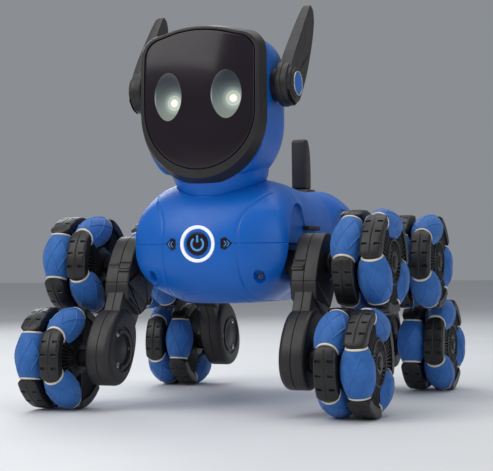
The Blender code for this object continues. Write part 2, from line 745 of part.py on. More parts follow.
def add_internals():
    motor_outer_x = HIP_TUBE_END_X - DRIVE_GAP
    bore = AXLE_RADIUS + RUNNING_GAP
    for side_name, side in SIDES.items():
        for end_name, end in ENDS.items():
            profile = [
                (DRIVE_BORE_END_X, bore),
                (motor_outer_x, bore),
                (motor_outer_x, DRIVE_NOSE_RADIUS),
                (DRIVE_SHOULDER_X, DRIVE_NOSE_RADIUS),
                (DRIVE_SHOULDER_X, DRIVE_RADIUS),
                (DRIVE_INNER_X, DRIVE_RADIUS),
            ]
            ends = [(side * x, radius) for x, radius in profile]
            motor = turned("motor", ends, "X", 12, centre=(end * HIP_Y, HIP_Z))
            add(f"{end_name}_{side_name}_drive_motor", motor, STEEL, 0.3, 0.9)
    neck_motor = turned("motor", NECK_MOTOR_PROFILE, "Z", 16, centre=(0, NECK_Y))
    add("neck_motor", neck_motor, STEEL, 0.3, 0.9)
    half_x, half_y = BATTERY_COVER_HALF
    cover = block("cover", (-half_x, -half_y, BELLY_Z), (half_x, half_y, BELLY_Z + WALL))
    add("battery_cover", cover, BLUE, 0.4)
    pack = block("pack", BATTERY_LOW, BATTERY_HIGH)
    add("battery_pack", pack, GREEN, 0.4)
    board = block("board", BOARD_LOW, BOARD_HIGH)
    add("circuit_board", board, GREEN, 0.5)
    speaker = turned("speaker", SPEAKER_PROFILE, "Y", 16, centre=(0, HIP_Z))
    add("speaker", speaker, DARK, 0.5)
    knob_x, knob_y = SWITCH_HALF
    knob = block("knob", (-knob_x, -knob_y, -SWITCH_KNOB), (knob_x, knob_y, SWITCH_TOP))
    add("power_switch", knob, DARK, 0.5, place=(0, SWITCH_Y, BELLY_Z))


def tail_base_outline(grow):
    """The wedge that holds the tail, as (y, z), standing in its pocket in the rump."""
    front, rear = TAIL_BASE_FRONT_Y - grow, TAIL_BASE_REAR_Y + grow
    low, high = TAIL_BASE_LOW_Z - grow, TAIL_BASE_TOP_Z + grow
    shoulder = (front + TAIL_BASE_SLOPE, high)
    return [(front, low), (rear, low), (rear, high), shoulder, (front, RUMP_Z - TAIL_BASE_SINK)]


def tail_base_mesh(grow):
    half = TAIL_BASE_HALF_WIDTH + grow
    return prism("tail_base", tail_base_outline(grow), "X", -half, half)


def add_tail():
    foot = TAIL_BASE_TOP_Z + GAP
    outline = [
        (TAIL_FRONT_Y, foot),
        (TAIL_REAR_Y, foot),
        (TAIL_REAR_Y, TAIL_TOP_Z - TAIL_REAR_CORNER),
        (TAIL_REAR_Y - TAIL_REAR_CORNER, TAIL_TOP_Z),
        (TAIL_FRONT_Y + TAIL_FRONT_CORNER, TAIL_TOP_Z),
        (TAIL_FRONT_Y, TAIL_TOP_Z - TAIL_FRONT_CORNER),
    ]
    add("tail", prism("tail", outline, "X", -TAIL_HALF_WIDTH, TAIL_HALF_WIDTH), DARK, 0.45)
    add("tail_base", tail_base_mesh(0), DARK, 0.45)


# ---------------------------------------------------------------- head


def shield(half_width, top, bottom, corner, power=2.0):
    """Outline of the face, as (x, z): an arched brow, rounded corners, straight sides and a round chin."""
    chin = (top - bottom) * 0.43
    chin_z = bottom + chin
    points = []
    for i in range(13):
        angle = math.pi + math.pi * i / 12
        across, down = math.cos(angle), math.sin(angle)
        x = half_width * math.copysign(abs(across) ** (2 / power), across)
        points.append((x, chin_z - chin * abs(down) ** (2 / power)))
    shoulder = top - BROW_RISE
    points += arc((half_width - corner, shoulder - corner), (corner, corner), 0, math.pi / 2, 4)
    brow = half_width - corner
    points += [(brow / 2, top - BROW_RISE / 4), (0, top), (-brow / 2, top - BROW_RISE / 4)]
    points += arc((-brow, shoulder - corner), (corner, corner), math.pi / 2, math.pi, 4)
    return points


def head_section(y):
    """The head's outline at one depth: full behind the face, and domed at the back."""
    shrink = round_end(max(0, y - HEAD_FULL_Y), HEAD_BACK_Y - HEAD_FULL_Y, 2.2)
    half_width = HEAD_HALF_WIDTH * shrink
    top = HEAD_MIDDLE_Z + (HEAD_TOP_Z - HEAD_MIDDLE_Z) * shrink
    bottom = HEAD_MIDDLE_Z - (HEAD_MIDDLE_Z - HEAD_LOW_Z) * shrink
    corner = half_width * blend(0.36, 0.50, (y - BEZEL_BACK_Y) / 0.030)
    return half_width, top, bottom, corner


def head_ring(y, inset):
    """One ring of the head's loft, with its underside cut level above the torso."""
    half_width, top, bottom, corner = head_section(y)
    outline = shield(half_width - inset, top - inset, bottom + inset, corner, 2.1)
    return [(x, y, max(z, HEAD_UNDERSIDE_Z + inset)) for x, z in outline]


def head_loft(name, front, back, inset):
    places = [front + (back - front) * math.sin(math.pi / 2 * i / 9) for i in range(10)]
    return loft(name, [head_ring(y, inset) for y in places])


def head_mesh(front):
    """The front or the rear head shell, hollow, cut apart on the seam behind the ears."""
    body = head_loft("head", BEZEL_BACK_Y + GAP, HEAD_BACK_Y - HEAD_BACK_FLAT, 0)
    neck = [(NECK_BOTTOM_Z, NECK_RADIUS), (NECK_TOP_Z, NECK_RADIUS)]
    body = joined(body, turned("neck", neck, "Z", 32, centre=(0, NECK_Y)))
    cavity = head_loft("cavity", BEZEL_BACK_Y - REACH / 4, HEAD_BACK_Y - HEAD_BACK_WALL, WALL)
    socket_ends = [(NECK_BOTTOM_Z - REACH, NECK_BORE_RADIUS), (NECK_BORE_TOP_Z, NECK_BORE_RADIUS)]
    socket = turned("socket", socket_ends, "Z", 20, centre=(0, NECK_Y))
    beyond = HEAD_TOP_Z
    if front:
        away_low, away_high = HEAD_SEAM_Y - GAP / 2, beyond
    else:
        away_low, away_high = -beyond, HEAD_SEAM_Y + GAP / 2
    away = block("away", (-beyond, away_low, 0), (beyond, away_high, 2 * beyond))
    tools = [cavity, socket, away]
    if front:
        hole = EAR_PIN_RADIUS + RUNNING_GAP
        ends = [(-beyond, hole), (beyond, hole)]
        tools.append(turned("hole", ends, "X", 14, centre=(EAR_Y, EAR_Z)))
    return cut(body, *tools)


def eye_outline(side, grow):
    """A rounded top and a softly pointed bottom, as (x, z)."""
    width, height = EYE_HALF_WIDTH + grow, EYE_HALF_HEIGHT + grow
    upper = arc((0, 0), (width, height * 0.85), 0, math.pi, 8)
    lower = [(-width * 0.86, -height * 0.42), (-width * 0.50, -height * 0.80), (0, -height)]
    lower += [(width * 0.50, -height * 0.80), (width * 0.86, -height * 0.42)]
    return [(side * EYE_X + x, EYE_Z + z) for x, z in upper + lower]


def add_head():
    pivot = add_pivot("neck_pivot", (0, NECK_Y, NECK_BOTTOM_Z))

    def on_head(name, mesh, colour, roughness, metallic=0.0):
        mesh.transform(Matrix.Translation(-pivot.location))
        return add(name, mesh, colour, roughness, metallic, parent=pivot)

    on_head("head_front_shell", head_mesh(True), BLUE, 0.35)
    on_head("head_rear_shell", head_mesh(False), BLUE, 0.35)

    outer = []
    for y, inset in ((FACE_Y, BEZEL_EDGE), (FACE_Y + BEZEL_EDGE_DEPTH, 0), (BEZEL_BACK_Y, 0)):
        half_width, top, bottom = BEZEL_HALF_WIDTH - inset, BEZEL_TOP_Z - inset, BEZEL_BOTTOM_Z + inset
        outer.append([(x, y, z) for x, z in shield(half_width, top, bottom, FACE_CORNER)])
    corner = FACE_CORNER - 0.002
    opening = shield(SCREEN_HALF_WIDTH + GAP, SCREEN_TOP_Z + GAP, SCREEN_BOTTOM_Z - GAP, corner)
    opening = prism("opening", opening, "Y", FACE_Y - REACH, BEZEL_BACK_Y + REACH)
    on_head("face_bezel", cut(loft("bezel", outer), opening), DARK, 0.4)

    outline = shield(SCREEN_HALF_WIDTH, SCREEN_TOP_Z, SCREEN_BOTTOM_Z, corner)
    screen = prism("screen", outline, "Y", SCREEN_Y, SCREEN_Y + SCREEN_THICKNESS)
    pocket_y = (SCREEN_Y - REACH, SCREEN_Y + EYE_THICKNESS + GAP)
    pockets = [prism("pocket", eye_outline(side, GAP), "Y", *pocket_y) for side in SIDES.values()]
    on_head("face_screen", cut(screen, *pockets), (0.02, 0.015, 0.02), 0.08)
    for side_name, side in SIDES.items():
        eye = prism("eye", eye_outline(side, 0), "Y", SCREEN_Y, SCREEN_Y + EYE_THICKNESS)
        on_head(f"{side_name}_eye", eye, (0.3, 0.75, 0.9), 0.2)
    board = block("board", LIGHT_BOARD_LOW, LIGHT_BOARD_HIGH)
    on_head("face_light_board", board, GREEN, 0.5)
    ring_low, ring_high = NECK_WELL_FLOOR_Z + GAP, NECK_WELL_FLOOR_Z + NECK_RING_HEIGHT
    ring_inner, ring_outer = NECK_RADIUS + RUNNING_GAP, NECK_WELL_RADIUS - GAP
    profile = [
        (ring_low, ring_inner),
        (ring_low, ring_outer),
        (ring_high, ring_outer),
        (ring_high, ring_inner),
    ]
    neck_ring = turned("ring", profile, "Z", 32, centre=(0, NECK_Y), closed=True)
    add("neck_ring", neck_ring, (0.5, 0.6, 0.8), 0.3)
    add_ears(pivot)


def ear_mesh():
    """Left ear upright about its pivot: boss, pin and blade. X is measured from the head's middle."""
    rings = []
    for up, low_x, high_x, low_y, high_y in EAR_BLADE_ROWS:
        rings.append([(low_x, low_y, up), (high_x, low_y, up), (high_x, high_y, up), (low_x, high_y, up)])
    return joined(turned("boss", EAR_BOSS_PROFILE, "X", 20), loft("blade", rings))


def add_ears(head_pivot):
    left_ear = ear_mesh()
    left_cap = turned("cap", EAR_CAP_PROFILE, "X", 20)
    for side_name, side in SIDES.items():
        place = Vector((0, EAR_Y, EAR_Z)) - head_pivot.location
        pivot = add_pivot(f"{side_name}_ear_pivot", place, parent=head_pivot, turn_x=-EAR_LEAN)
        add(f"{side_name}_ear", for_side(left_ear.copy(), side), DARK, 0.45, parent=pivot)
        add(f"{side_name}_ear_cap", for_side(left_cap.copy(), side), BLUE, 0.35, parent=pivot)


def main():
    for leftover in list(bpy.data.objects):
        bpy.data.objects.remove(leftover)
    add_legs()
    add_torso()
    add_chest()
    add_internals()
    add_tail()
    add_head()
    for mesh in [mesh for mesh in bpy.data.meshes if not mesh.users]:
        bpy.data.meshes.remove(mesh)


main()
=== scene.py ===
"""Looks of the toy robot dog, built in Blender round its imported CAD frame.

Metres, +Z up. The robot faces -Y and its own left side is +X. Shapes that the CAD solids hold in outline are
made here again with their fine surface: moulded edges, seams, engraved rollers, screws and lamps.
"""

import math

import bmesh
import bpy
import numpy as np
from mathutils import Matrix, Vector


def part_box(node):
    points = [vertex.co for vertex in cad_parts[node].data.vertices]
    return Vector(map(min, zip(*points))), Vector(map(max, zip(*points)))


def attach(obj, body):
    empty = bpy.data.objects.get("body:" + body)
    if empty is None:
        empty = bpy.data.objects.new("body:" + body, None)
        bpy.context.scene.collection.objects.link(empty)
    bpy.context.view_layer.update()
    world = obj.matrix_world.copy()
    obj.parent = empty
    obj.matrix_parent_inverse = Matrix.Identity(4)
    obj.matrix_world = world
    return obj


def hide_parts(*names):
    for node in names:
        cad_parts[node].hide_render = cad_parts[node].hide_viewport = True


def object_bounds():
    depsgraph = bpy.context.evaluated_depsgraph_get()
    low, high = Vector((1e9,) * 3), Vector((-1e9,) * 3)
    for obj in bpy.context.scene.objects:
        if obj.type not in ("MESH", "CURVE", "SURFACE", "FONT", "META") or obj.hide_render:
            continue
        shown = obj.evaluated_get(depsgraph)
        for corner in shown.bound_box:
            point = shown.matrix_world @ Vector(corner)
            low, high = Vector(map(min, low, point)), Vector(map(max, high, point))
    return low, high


MM = 0.001
GAP = 0.3 * MM
MERGE = 0.002 * MM
SIDES = {"left": 1, "right": -1}
ENDS = {"front": -1, "rear": 1}


def mm(value):
    """Numbers of millimetres as metres, in rows as deep as they come."""
    return value * MM if isinstance(value, (int, float)) else type(value)(mm(part) for part in value)


# Wheels
WHEEL_RADIUS = 35 * MM
WHEEL_CENTRE_X = 105.95 * MM
ROW_OFFSET = 9.35 * MM
ROLLERS_PER_ROW = 3
ROLLER_AXIS_DISTANCE = 24.2 * MM
SLEEVE_HALF_LENGTH = 15.2 * MM
LATTICE_HALF_LENGTH = 12 * MM
LATTICE_REPEATS = 3
TREAD_HALF_WIDTH = 7.3 * MM
TREAD_HALF_ANGLE = math.radians(31.5)
TREAD_DEPTH = 6 * MM
TREAD_END_DEPTH = 3 * MM
HUB_RADIUS = 15.6 * MM
HUB_HALF_WIDTH = 16.5 * MM
HUB_RIBS = 24
WHEEL_TURNS = {
    "front_right_lower": 7,
    "front_right_upper": 14,
    "front_left_upper": -25,
    "front_left_lower": -10,
    "rear_left_upper": 70,
    "rear_left_lower": 68,
    "rear_right_lower": 68,
    "rear_right_upper": 20,
}

# Legs
ARM_LENGTH = 74.3 * MM
ARM_LEAN = math.radians(31.2)
HIP_Y = 62.15 * MM
HIP_Z = WHEEL_RADIUS + ARM_LENGTH * math.cos(ARM_LEAN)
LEG_X = 68 * MM
LEG_HALF_THICKNESS = 9 * MM
# Middle, half width, reach up, reach down and the curve's power
THIGH = (6 * MM, 19.5 * MM, 25.5 * MM, 31 * MM, 2.5)
THIGH_GROOVE = 23.8 * MM
THIGH_END = 34 * MM
FOOT = (67 * MM, 20.5 * MM, 29 * MM, 25.5 * MM, 2.15)
FOOT_SHIFT_X = 1 * MM
NECK_ENDS = mm(((30, 14.5), (54, 12.5)))

# Torso
SEAM_Z = 112 * MM
TORSO_FRONT_Y = -106 * MM
TORSO_REAR_Y = 110.5 * MM
BELLY_Z = 72 * MM
RECESS_X = 49 * MM
RECESS_RADII = mm((30, 41))
RECESS_WALL = 1.6 * MM
RECESS_SHIFT_Y = 8 * MM  # towards the waist
CHEST_X = 68 * MM
CHEST_LENGTH = 45 * MM
RUMP_X = 64 * MM
RUMP_LENGTH = 49.5 * MM
SHOULDER_Y = 61 * MM  # where the ends start to round off
WAIST_X = 50 * MM
FLANK_X = 56 * MM
WAIST_HALF_LENGTH = 28 * MM
WAIST_BLEND = 26 * MM
FLANK_ROUNDING = 5 * MM
DOME_TOP_Z = 158.2 * MM
DOME_FRONT_Y = -50 * MM
DOME_REAR_Y = -30 * MM
DOME_LENGTH = 56 * MM
SADDLE_Y = 20 * MM
SADDLE_Z = 153.5 * MM
SADDLE_LENGTH = 50 * MM
RUMP_Y = 70 * MM
RUMP_Z = 152.5 * MM
BELLY_FRONT_Y = -40 * MM
BELLY_REAR_Y = 50 * MM
BELLY_DEPTH = 43 * MM
BELLY_POWER = 2.6
NECK_Y = -65 * MM
NECK_CONE = mm(((143.6, 25.6), (146, 26.5), (151.5, 29.6), (155.5, 31.4), (159.5, 33)))
NECK_GAP = 0.5 * MM
RING_RADIUS = 12.3 * MM
RING_INNER_RADIUS = 10.1 * MM
RING_FRONT_Y = -106.2 * MM
ARROW_X = 20 * MM
ARROW = mm([(-3.7, -3.1), (-0.8, -4.2), (3.7, 0), (-0.8, 4.2), (-3.7, 3.1)])
SCREW_WELL = mm((39, 89.6))

# Head
FACE_CENTRE_Y = -105.8 * MM
FACE_BULGE = 5.6 * MM
FACE_MIDDLE_Z = 207.5 * MM
BEZEL_BACK_Y = -92.6 * MM
BEZEL_HALF_WIDTH = 45.2 * MM
BEZEL_TOP_Z = 258.2 * MM
BEZEL_BOTTOM_Z = 151.5 * MM
SCREEN_HALF_WIDTH = 40.2 * MM
SCREEN_TOP_Z = 255 * MM
SCREEN_BOTTOM_Z = 161.5 * MM
FACE_CORNER = 14 * MM
BROW_RISE = 4.6 * MM
HEAD_SEAM_Y = -52 * MM
HEAD_FULL_Y = -66 * MM  # the head is at its full size up to here
HEAD_BACK_Y = -24.5 * MM
HEAD_HALF_WIDTH = 44.5 * MM
HEAD_MIDDLE_Z = 206 * MM
HEAD_LOW_Z = 148.5 * MM
HEAD_TOP_Z = 258.3 * MM
HEAD_UNDERSIDE_Z = 158.8 * MM
EYE_X = 21 * MM
EYE_Z = 210.6 * MM
EYE_HALF_WIDTH = 10.5 * MM
EYE_HALF_HEIGHT = 16.25 * MM
EAR_Y = -73.5 * MM
EAR_Z = 218.6 * MM
EAR_LEAN = math.radians(33)
# Outline of an ear's blade beside its pivot, as (up the ear, forward), and its thickness,
# as (up, inner x, outer x)
EAR_FRONT = ((-9, 11.6), (4.5, 12.7), (19.9, 11.8), (34.9, 9.6), (53.2, 7.0), (64, 4.9), (68.2, 3.3))
EAR_REAR = (
    (69.2, -2.6), (66.5, -5.6), (61.9, -8.2), (53, -11), (40.6, -13.1), (29.5, -14.2), (18.1, -14.9),
    (6.9, -14.7), (-6, -12.4),
)
EAR_THICKNESS = (
    (-16, 50.0, 58.4), (10, 50.2, 58.8), (22, 50.6, 59.0), (44, 51.6, 59.0), (62, 52.8, 58.8),
    (70, 53.8, 58.2),
)



# ---------------------------------------------------------------- shapes in the plane


def arc(centre, radii, start, end, steps):
    angles = np.linspace(start, end, steps + 1)
    return [(centre[0] + radii[0] * math.cos(a), centre[1] + radii[1] * math.sin(a)) for a in angles]


def circle(centre, radius, steps):
    return arc(centre, (radius, radius), 0, 2 * math.pi, steps)[:-1]


def rounded(points, radius, closed=True, steps=4):
    """The outline with each corner replaced by a curve that starts `radius` away from it."""
    points = [Vector(p) for p in points]
    out = []
    for i, corner in enumerate(points):
        if not closed and i in (0, len(points) - 1):
            out.append(tuple(corner))
            continue
        before, after = points[i - 1] - corner, points[(i + 1) % len(points)] - corner
        reach = min(radius, 0.45 * before.length, 0.45 * after.length)
        first, last = corner + before.normalized() * reach, corner + after.normalized() * reach
        for step in range(steps + 1):
            t = step / steps
            out.append(tuple(first * (1 - t) ** 2 + corner * 2 * t * (1 - t) + last * t**2))
    return out


def inset(outline, amount):
    """The outline drawn in by an amount along each point's normal."""
    points = np.array(outline, float)
    along = np.roll(points, -1, 0) - np.roll(points, 1, 0)
    along /= np.linalg.norm(along, axis=1)[:, None] + 1e-12
    normal = np.column_stack((along[:, 1], -along[:, 0]))
    area = np.sum(points[:, 0] * np.roll(points[:, 1], -1) - np.roll(points[:, 0], -1) * points[:, 1])
    return points - normal * amount * (1 if area > 0 else -1)


def sector(centre, inner, outer, start, end, steps, inner_steps=None):
    """A stretch of a flat ring between two angles."""
    inside = arc(centre, (inner, inner), end, start, inner_steps or steps)
    return arc(centre, (outer, outer), start, end, steps) + inside


def rectangle(half_a, half_b, centre=(0, 0), corner=0.0):
    a, b = centre
    corners = [
        (a - half_a, b - half_b), (a + half_a, b - half_b), (a + half_a, b + half_b),
        (a - half_a, b + half_b),
    ]
    return rounded(corners, corner) if corner else corners


# ---------------------------------------------------------------- meshes


def mesh_of(name, points, faces, fill=False):
    mesh = bpy.data.meshes.new(name)
    mesh.from_pydata([tuple(map(float, p)) for p in points], [], faces)
    shape = bmesh.new()
    shape.from_mesh(mesh)
    tidy(shape, fill)
    shape.to_mesh(mesh)
    shape.free()
    return mesh


def tidy(shape, fill=False):
    bmesh.ops.remove_doubles(shape, verts=shape.verts, dist=MERGE)
    bmesh.ops.dissolve_degenerate(shape, edges=shape.edges, dist=MERGE / 4)
    if fill:
        bmesh.ops.holes_fill(shape, edges=shape.edges)
    bmesh.ops.recalc_face_normals(shape, faces=shape.faces)


def loft(name, rings, closed=False):
    """A mesh through rings of equally many points. Its ends are capped, or joined if it is closed."""
    rings = np.array(rings, float)
    count, around = rings.shape[:2]
    faces = []
    for low in range(count if closed else count - 1):
        high = (low + 1) % count
        for i in range(around):
            j = (i + 1) % around
            faces.append((low * around + i, low * around + j, high * around + j, high * around + i))
    if not closed:
        faces.append(tuple(range(around))[::-1])
        faces.append(tuple(range((count - 1) * around, count * around)))
    return mesh_of(name, rings.reshape(-1, 3), faces)


def on_axis(axis, along, first, second):
    return {"X": (along, first, second), "Y": (first, along, second), "Z": (first, second, along)}[axis]


def turned(name, profile, axis, centre=(0, 0), steps=64, corner=0.0, closed=False):
    """A shape turned about an axis. The profile lists (place along the axis, radius)."""
    if corner:
        profile = rounded(profile, corner, closed=closed)
    rings = [[on_axis(axis, at, a, b) for a, b in circle(centre, max(r, 1e-7), steps)] for at, r in profile]
    return loft(name, rings, closed)


def prism(name, outline, axis, low, high, edge=0.0, edge_steps=3):
    """An outline pushed along an axis, with rounded edges."""
    places = []
    for i in range(edge_steps, -1, -1):
        angle = math.pi / 2 * i / edge_steps
        places.append((low + edge * (1 - math.sin(angle)), edge * (1 - math.cos(angle))))
    places += [(high - (at - low), amount) for at, amount in places[::-1]]
    if not edge:
        places = [(low, 0), (high, 0)]
    rings = [[on_axis(axis, at, a, b) for a, b in inset(outline, amount)] for at, amount in places]
    return loft(name, rings)


def block(name, low, high, corner=0.0, edge=0.0):
    middle = [(low[i] + high[i]) / 2 for i in range(3)]
    outline = rectangle((high[0] - low[0]) / 2, (high[1] - low[1]) / 2, middle[:2], corner or 1e-5)
    return prism(name, outline, "Z", low[2], high[2], edge)


def united(name, *meshes):
    """The meshes in one, each kept as it is."""
    shape = bmesh.new()
    for mesh in meshes:
        shape.from_mesh(mesh)
    whole = bpy.data.meshes.new(name)
    shape.to_mesh(whole)
    shape.free()
    return whole


def moved(mesh, matrix):
    """A copy of the mesh somewhere else."""
    twin = mesh.copy()
    twin.transform(matrix)
    if matrix.determinant() < 0:
        twin.flip_normals()
    return twin


def mirrored(mesh):
    return moved(mesh, Matrix.Scale(-1, 4, (1, 0, 0)))


def for_side(mesh, side):
    return mesh if side > 0 else mirrored(mesh)


# ---------------------------------------------------------------- surfaces with fine features


def clamp(t):
    return np.clip(t, 0.0, 1.0)


def only(where):
    """0 where a feature may be, and far away elsewhere."""
    return np.where(where, 0.0, 1.0)


def step(t):
    """0 up to t = 0, 1 from t = 1, smooth between."""
    t = clamp(t)
    return t * t * (3 - 2 * t)


def blend(low, high, t):
    return low + (high - low) * step(t)


def smooth_min(a, b, width):
    share = clamp(0.5 + 0.5 * (b - a) / width)
    return b + (a - b) * share - width * share * (1 - share)


def smooth_max(a, b, width):
    return -smooth_min(-a, -b, width)


def round_end(distance, length, power=2.0):
    """1 at the middle of a body, falling along a superellipse to 0 at its end."""
    return np.maximum(0.0, 1 - np.minimum(1.0, np.abs(distance) / length) ** power) ** (1 / power)


def line_distance(a, b, line):
    """How far (a, b) is from a line through points."""
    nearest = np.full(np.shape(a), 1.0)
    for (a0, b0), (a1, b1) in zip(line, line[1:]):
        da, db = a1 - a0, b1 - b0
        t = clamp(((a - a0) * da + (b - b0) * db) / (da * da + db * db))
        nearest = np.minimum(nearest, np.hypot(a - a0 - t * da, b - b0 - t * db))
    return nearest


def ellipse_distance(a, b, centre, radii):
    """Below 0 inside an ellipse."""
    out = np.hypot(a - centre[0], b - centre[1])
    share = np.hypot((a - centre[0]) / radii[0], (b - centre[1]) / radii[1]) + 1e-9
    return out * (1 - 1 / share)


def box_distance(a, b, centre, half, corner):
    """Below 0 inside a rectangle with round corners."""
    da, db = np.abs(a - centre[0]) - half[0] + corner, np.abs(b - centre[1]) - half[1] + corner
    return np.hypot(np.maximum(da, 0), np.maximum(db, 0)) + np.minimum(np.maximum(da, db), 0) - corner


def groove(distance, depth, width):
    """(height, nearness) of a round groove along distance(x, y, z) = 0. A negative depth makes a ridge."""
    half = width / 2

    def height(x, y, z):
        return -depth * (1 - clamp(np.abs(distance(x, y, z)) / half) ** 2) ** 2

    return height, lambda x, y, z: np.abs(distance(x, y, z)) - half


def pocket(distance, depth, wall):
    """(height, nearness) of a pocket where distance(x, y, z) is below 0, its walls sloping over a width."""

    def height(x, y, z):
        return -depth * step(-distance(x, y, z) / wall)

    return height, lambda x, y, z: np.abs(distance(x, y, z) + wall / 2) - wall / 2


def skin(name, surface, u_steps, v_steps, features=(), edges=(), levels=3, fill=False):
    """A mesh over surface(u, v), finer near its features.

    A feature's height is measured along the surface's normal, and `edges` are more places where it is fine.
    """
    shape = bmesh.new()
    us, vs = np.linspace(0, 1, u_steps + 1), np.linspace(0, 1, v_steps + 1)
    rows = [[shape.verts.new((u, v, 0)) for v in vs] for u in us]
    for low, high in zip(rows, rows[1:]):
        for j in range(v_steps):
            shape.faces.new((low[j], high[j], high[j + 1], low[j + 1]))
    near = [feature[1] for feature in features] + list(edges)
    for _ in range(levels if near else 0):
        shape.verts.index_update()
        uv = np.array([vert.co[:2] for vert in shape.verts])
        points = surface(uv[:, 0], uv[:, 1])
        distance = np.min([measure(*points.T) for measure in near], axis=0)
        split = []
        for edge in shape.edges:
            i, j = edge.verts[0].index, edge.verts[1].index
            if min(distance[i], distance[j]) < 0.8 * np.linalg.norm(points[i] - points[j]):
                split.append(edge)
        bmesh.ops.subdivide_edges(shape, edges=split, cuts=1, use_grid_fill=True)
    uv = np.array([vert.co[:2] for vert in shape.verts])
    u, v = uv[:, 0], uv[:, 1]
    points = surface(u, v)
    tiny = 1e-4
    across = surface(np.minimum(u + tiny, 1), v) - surface(np.maximum(u - tiny, 0), v)
    along = surface(u, np.minimum(v + tiny, 1)) - surface(u, np.maximum(v - tiny, 0))
    normal = np.cross(across, along)
    normal /= np.linalg.norm(normal, axis=1)[:, None] + 1e-15
    points = points + normal * sum(
        feature[0](*points.T) for feature in features
    )[:, None] if features else points
    for vert, point in zip(shape.verts, points):
        vert.co = point
    tidy(shape, fill)
    mesh = bpy.data.meshes.new(name)
    shape.to_mesh(mesh)
    shape.free()
    return mesh


# ---------------------------------------------------------------- materials


class Nodes:
    """A material's node tree, with short calls to add and link nodes."""

    def __init__(self, name):
        self.material = bpy.data.materials.new(name)
        self.material.use_nodes = True
        self.tree = self.material.node_tree
        self.shader = self.tree.nodes["Principled BSDF"]
        self.place = self.add("TexCoord").outputs["Object"]

    def add(self, kind, **settings):
        node = self.tree.nodes.new("ShaderNode" + kind)
        for key, value in settings.items():
            setattr(node, key, value)
        return node

    def link(self, source, socket):
        self.tree.links.new(source, socket)

    def set(self, **values):
        """Constants on the shader's own sockets, with underscores for the spaces in their names."""
        for key, value in values.items():
            self.shader.inputs[key.replace("_", " ")].default_value = value

    def noise(self, scale, detail=3.0, roughness=0.5, stretch=None):
        node = self.add("TexNoise")
        node.inputs["Scale"].default_value = scale
        node.inputs["Detail"].default_value = detail
        node.inputs["Roughness"].default_value = roughness
        source = self.place
        if stretch:
            mapping = self.add("Mapping")
            mapping.inputs["Scale"].default_value = stretch
            self.link(self.place, mapping.inputs["Vector"])
            source = mapping.outputs["Vector"]
        self.link(source, node.inputs["Vector"])
        return node.outputs["Fac"]

    def ramp(self, source, stops):
        """Colours or greys along a value: stops are (place, colour or grey)."""
        node = self.add("ValToRGB")
        elements = node.color_ramp.elements
        for i, (place, colour) in enumerate(stops):
            element = elements[i] if i < 2 else elements.new(place)
            element.position = place
            element.color = (*colour, 1) if isinstance(colour, tuple) else (colour, colour, colour, 1)
        self.link(source, node.inputs["Fac"])
        return node.outputs["Color"]

    def spread(self, source, low, high):
        """The source's middle half spread from low to high."""
        node = self.add("MapRange")
        node.inputs["From Min"].default_value = 0.3
        node.inputs["From Max"].default_value = 0.7
        node.inputs["To Min"].default_value = low
        node.inputs["To Max"].default_value = high
        self.link(source, node.inputs["Value"])
        return node.outputs["Result"]

    def mix(self, share, first, second):
        """Two colours mixed: the sockets by number, since the node has one set for each kind of value."""
        node = self.add("Mix", data_type="RGBA")
        for value, number in ((share, 0), (first, 6), (second, 7)):
            self.put(value, node.inputs[number])
        return node.outputs[2]

    def put(self, value, socket):
        if isinstance(value, tuple):
            socket.default_value = (*value, 1) if len(value) == 3 else value
        elif isinstance(value, (int, float)):
            socket.default_value = value
        else:
            self.link(value, socket)

    def bump(self, layers):
        """Bumps laid over each other: (height, strength, distance in metres)."""
        last = None
        for height, strength, distance in layers:
            node = self.add("Bump")
            node.inputs["Strength"].default_value = strength
            node.inputs["Distance"].default_value = distance
            self.link(height, node.inputs["Height"])
            if last:
                self.link(last, node.inputs["Normal"])
            last = node.outputs["Normal"]
        self.link(last, self.shader.inputs["Normal"])


def moulded(
    name, colour, roughness, grain=900, grain_depth=0.04, tone=0.12, wear=0.0, coat=0.0, specular=0.5
):
    """Moulded plastic: a spark-eroded grain, a slightly uneven gloss and tone, and paler worn edges."""
    nodes = Nodes(name)
    darker = tuple(c * (1 - tone) for c in colour)
    paler = tuple(min(1.0, c * (1 + tone)) for c in colour)
    body = nodes.ramp(nodes.noise(28, 4), [(0.3, darker), (0.7, paler)])
    if wear:
        edges = nodes.ramp(nodes.add("NewGeometry").outputs["Pointiness"], [(0.52, 0.0), (0.60, wear)])
        body = nodes.mix(edges, body, tuple(min(1.0, c * 1.6 + 0.03) for c in colour))
    nodes.link(body, nodes.shader.inputs["Base Color"])
    gloss = nodes.spread(nodes.noise(140, 5, 0.6), roughness - 0.05, roughness + 0.07)
    nodes.link(gloss, nodes.shader.inputs["Roughness"])
    nodes.set(Coat_Weight=coat, Coat_Roughness=0.2, IOR=1.5, Specular_IOR_Level=specular)
    nodes.bump([(nodes.noise(grain, 2), grain_depth, 0.0003), (nodes.noise(60, 2), 0.05, 0.0002)])
    return nodes.material


def rubber(name, colour, roughness):
    """Matt rubber: powdery sheen, fine pitting and a little dust in the tone."""
    nodes = Nodes(name)
    dusty = tuple(min(1.0, c * 1.25 + 0.02) for c in colour)
    body = nodes.ramp(nodes.noise(70, 6, 0.65), [(0.35, tuple(c * 0.88 for c in colour)), (0.75, dusty)])
    specks = nodes.ramp(nodes.noise(1400, 2), [(0.70, 0.0), (0.78, 0.35)])
    nodes.link(
        nodes.mix(specks, body, tuple(min(1.0, c * 1.5 + 0.06) for c in colour)), nodes.shader.inputs[
            "Base Color"
        ]
    )
    nodes.link(
        nodes.spread(nodes.noise(220, 4), roughness - 0.06, roughness + 0.08),
        nodes.shader.inputs["Roughness"],
    )
    nodes.set(Sheen_Weight=0.12, Sheen_Roughness=0.5, IOR=1.45)
    nodes.bump([(nodes.noise(1600, 3), 0.12, 0.0003), (nodes.noise(90, 2), 0.06, 0.0003)])
    return nodes.material


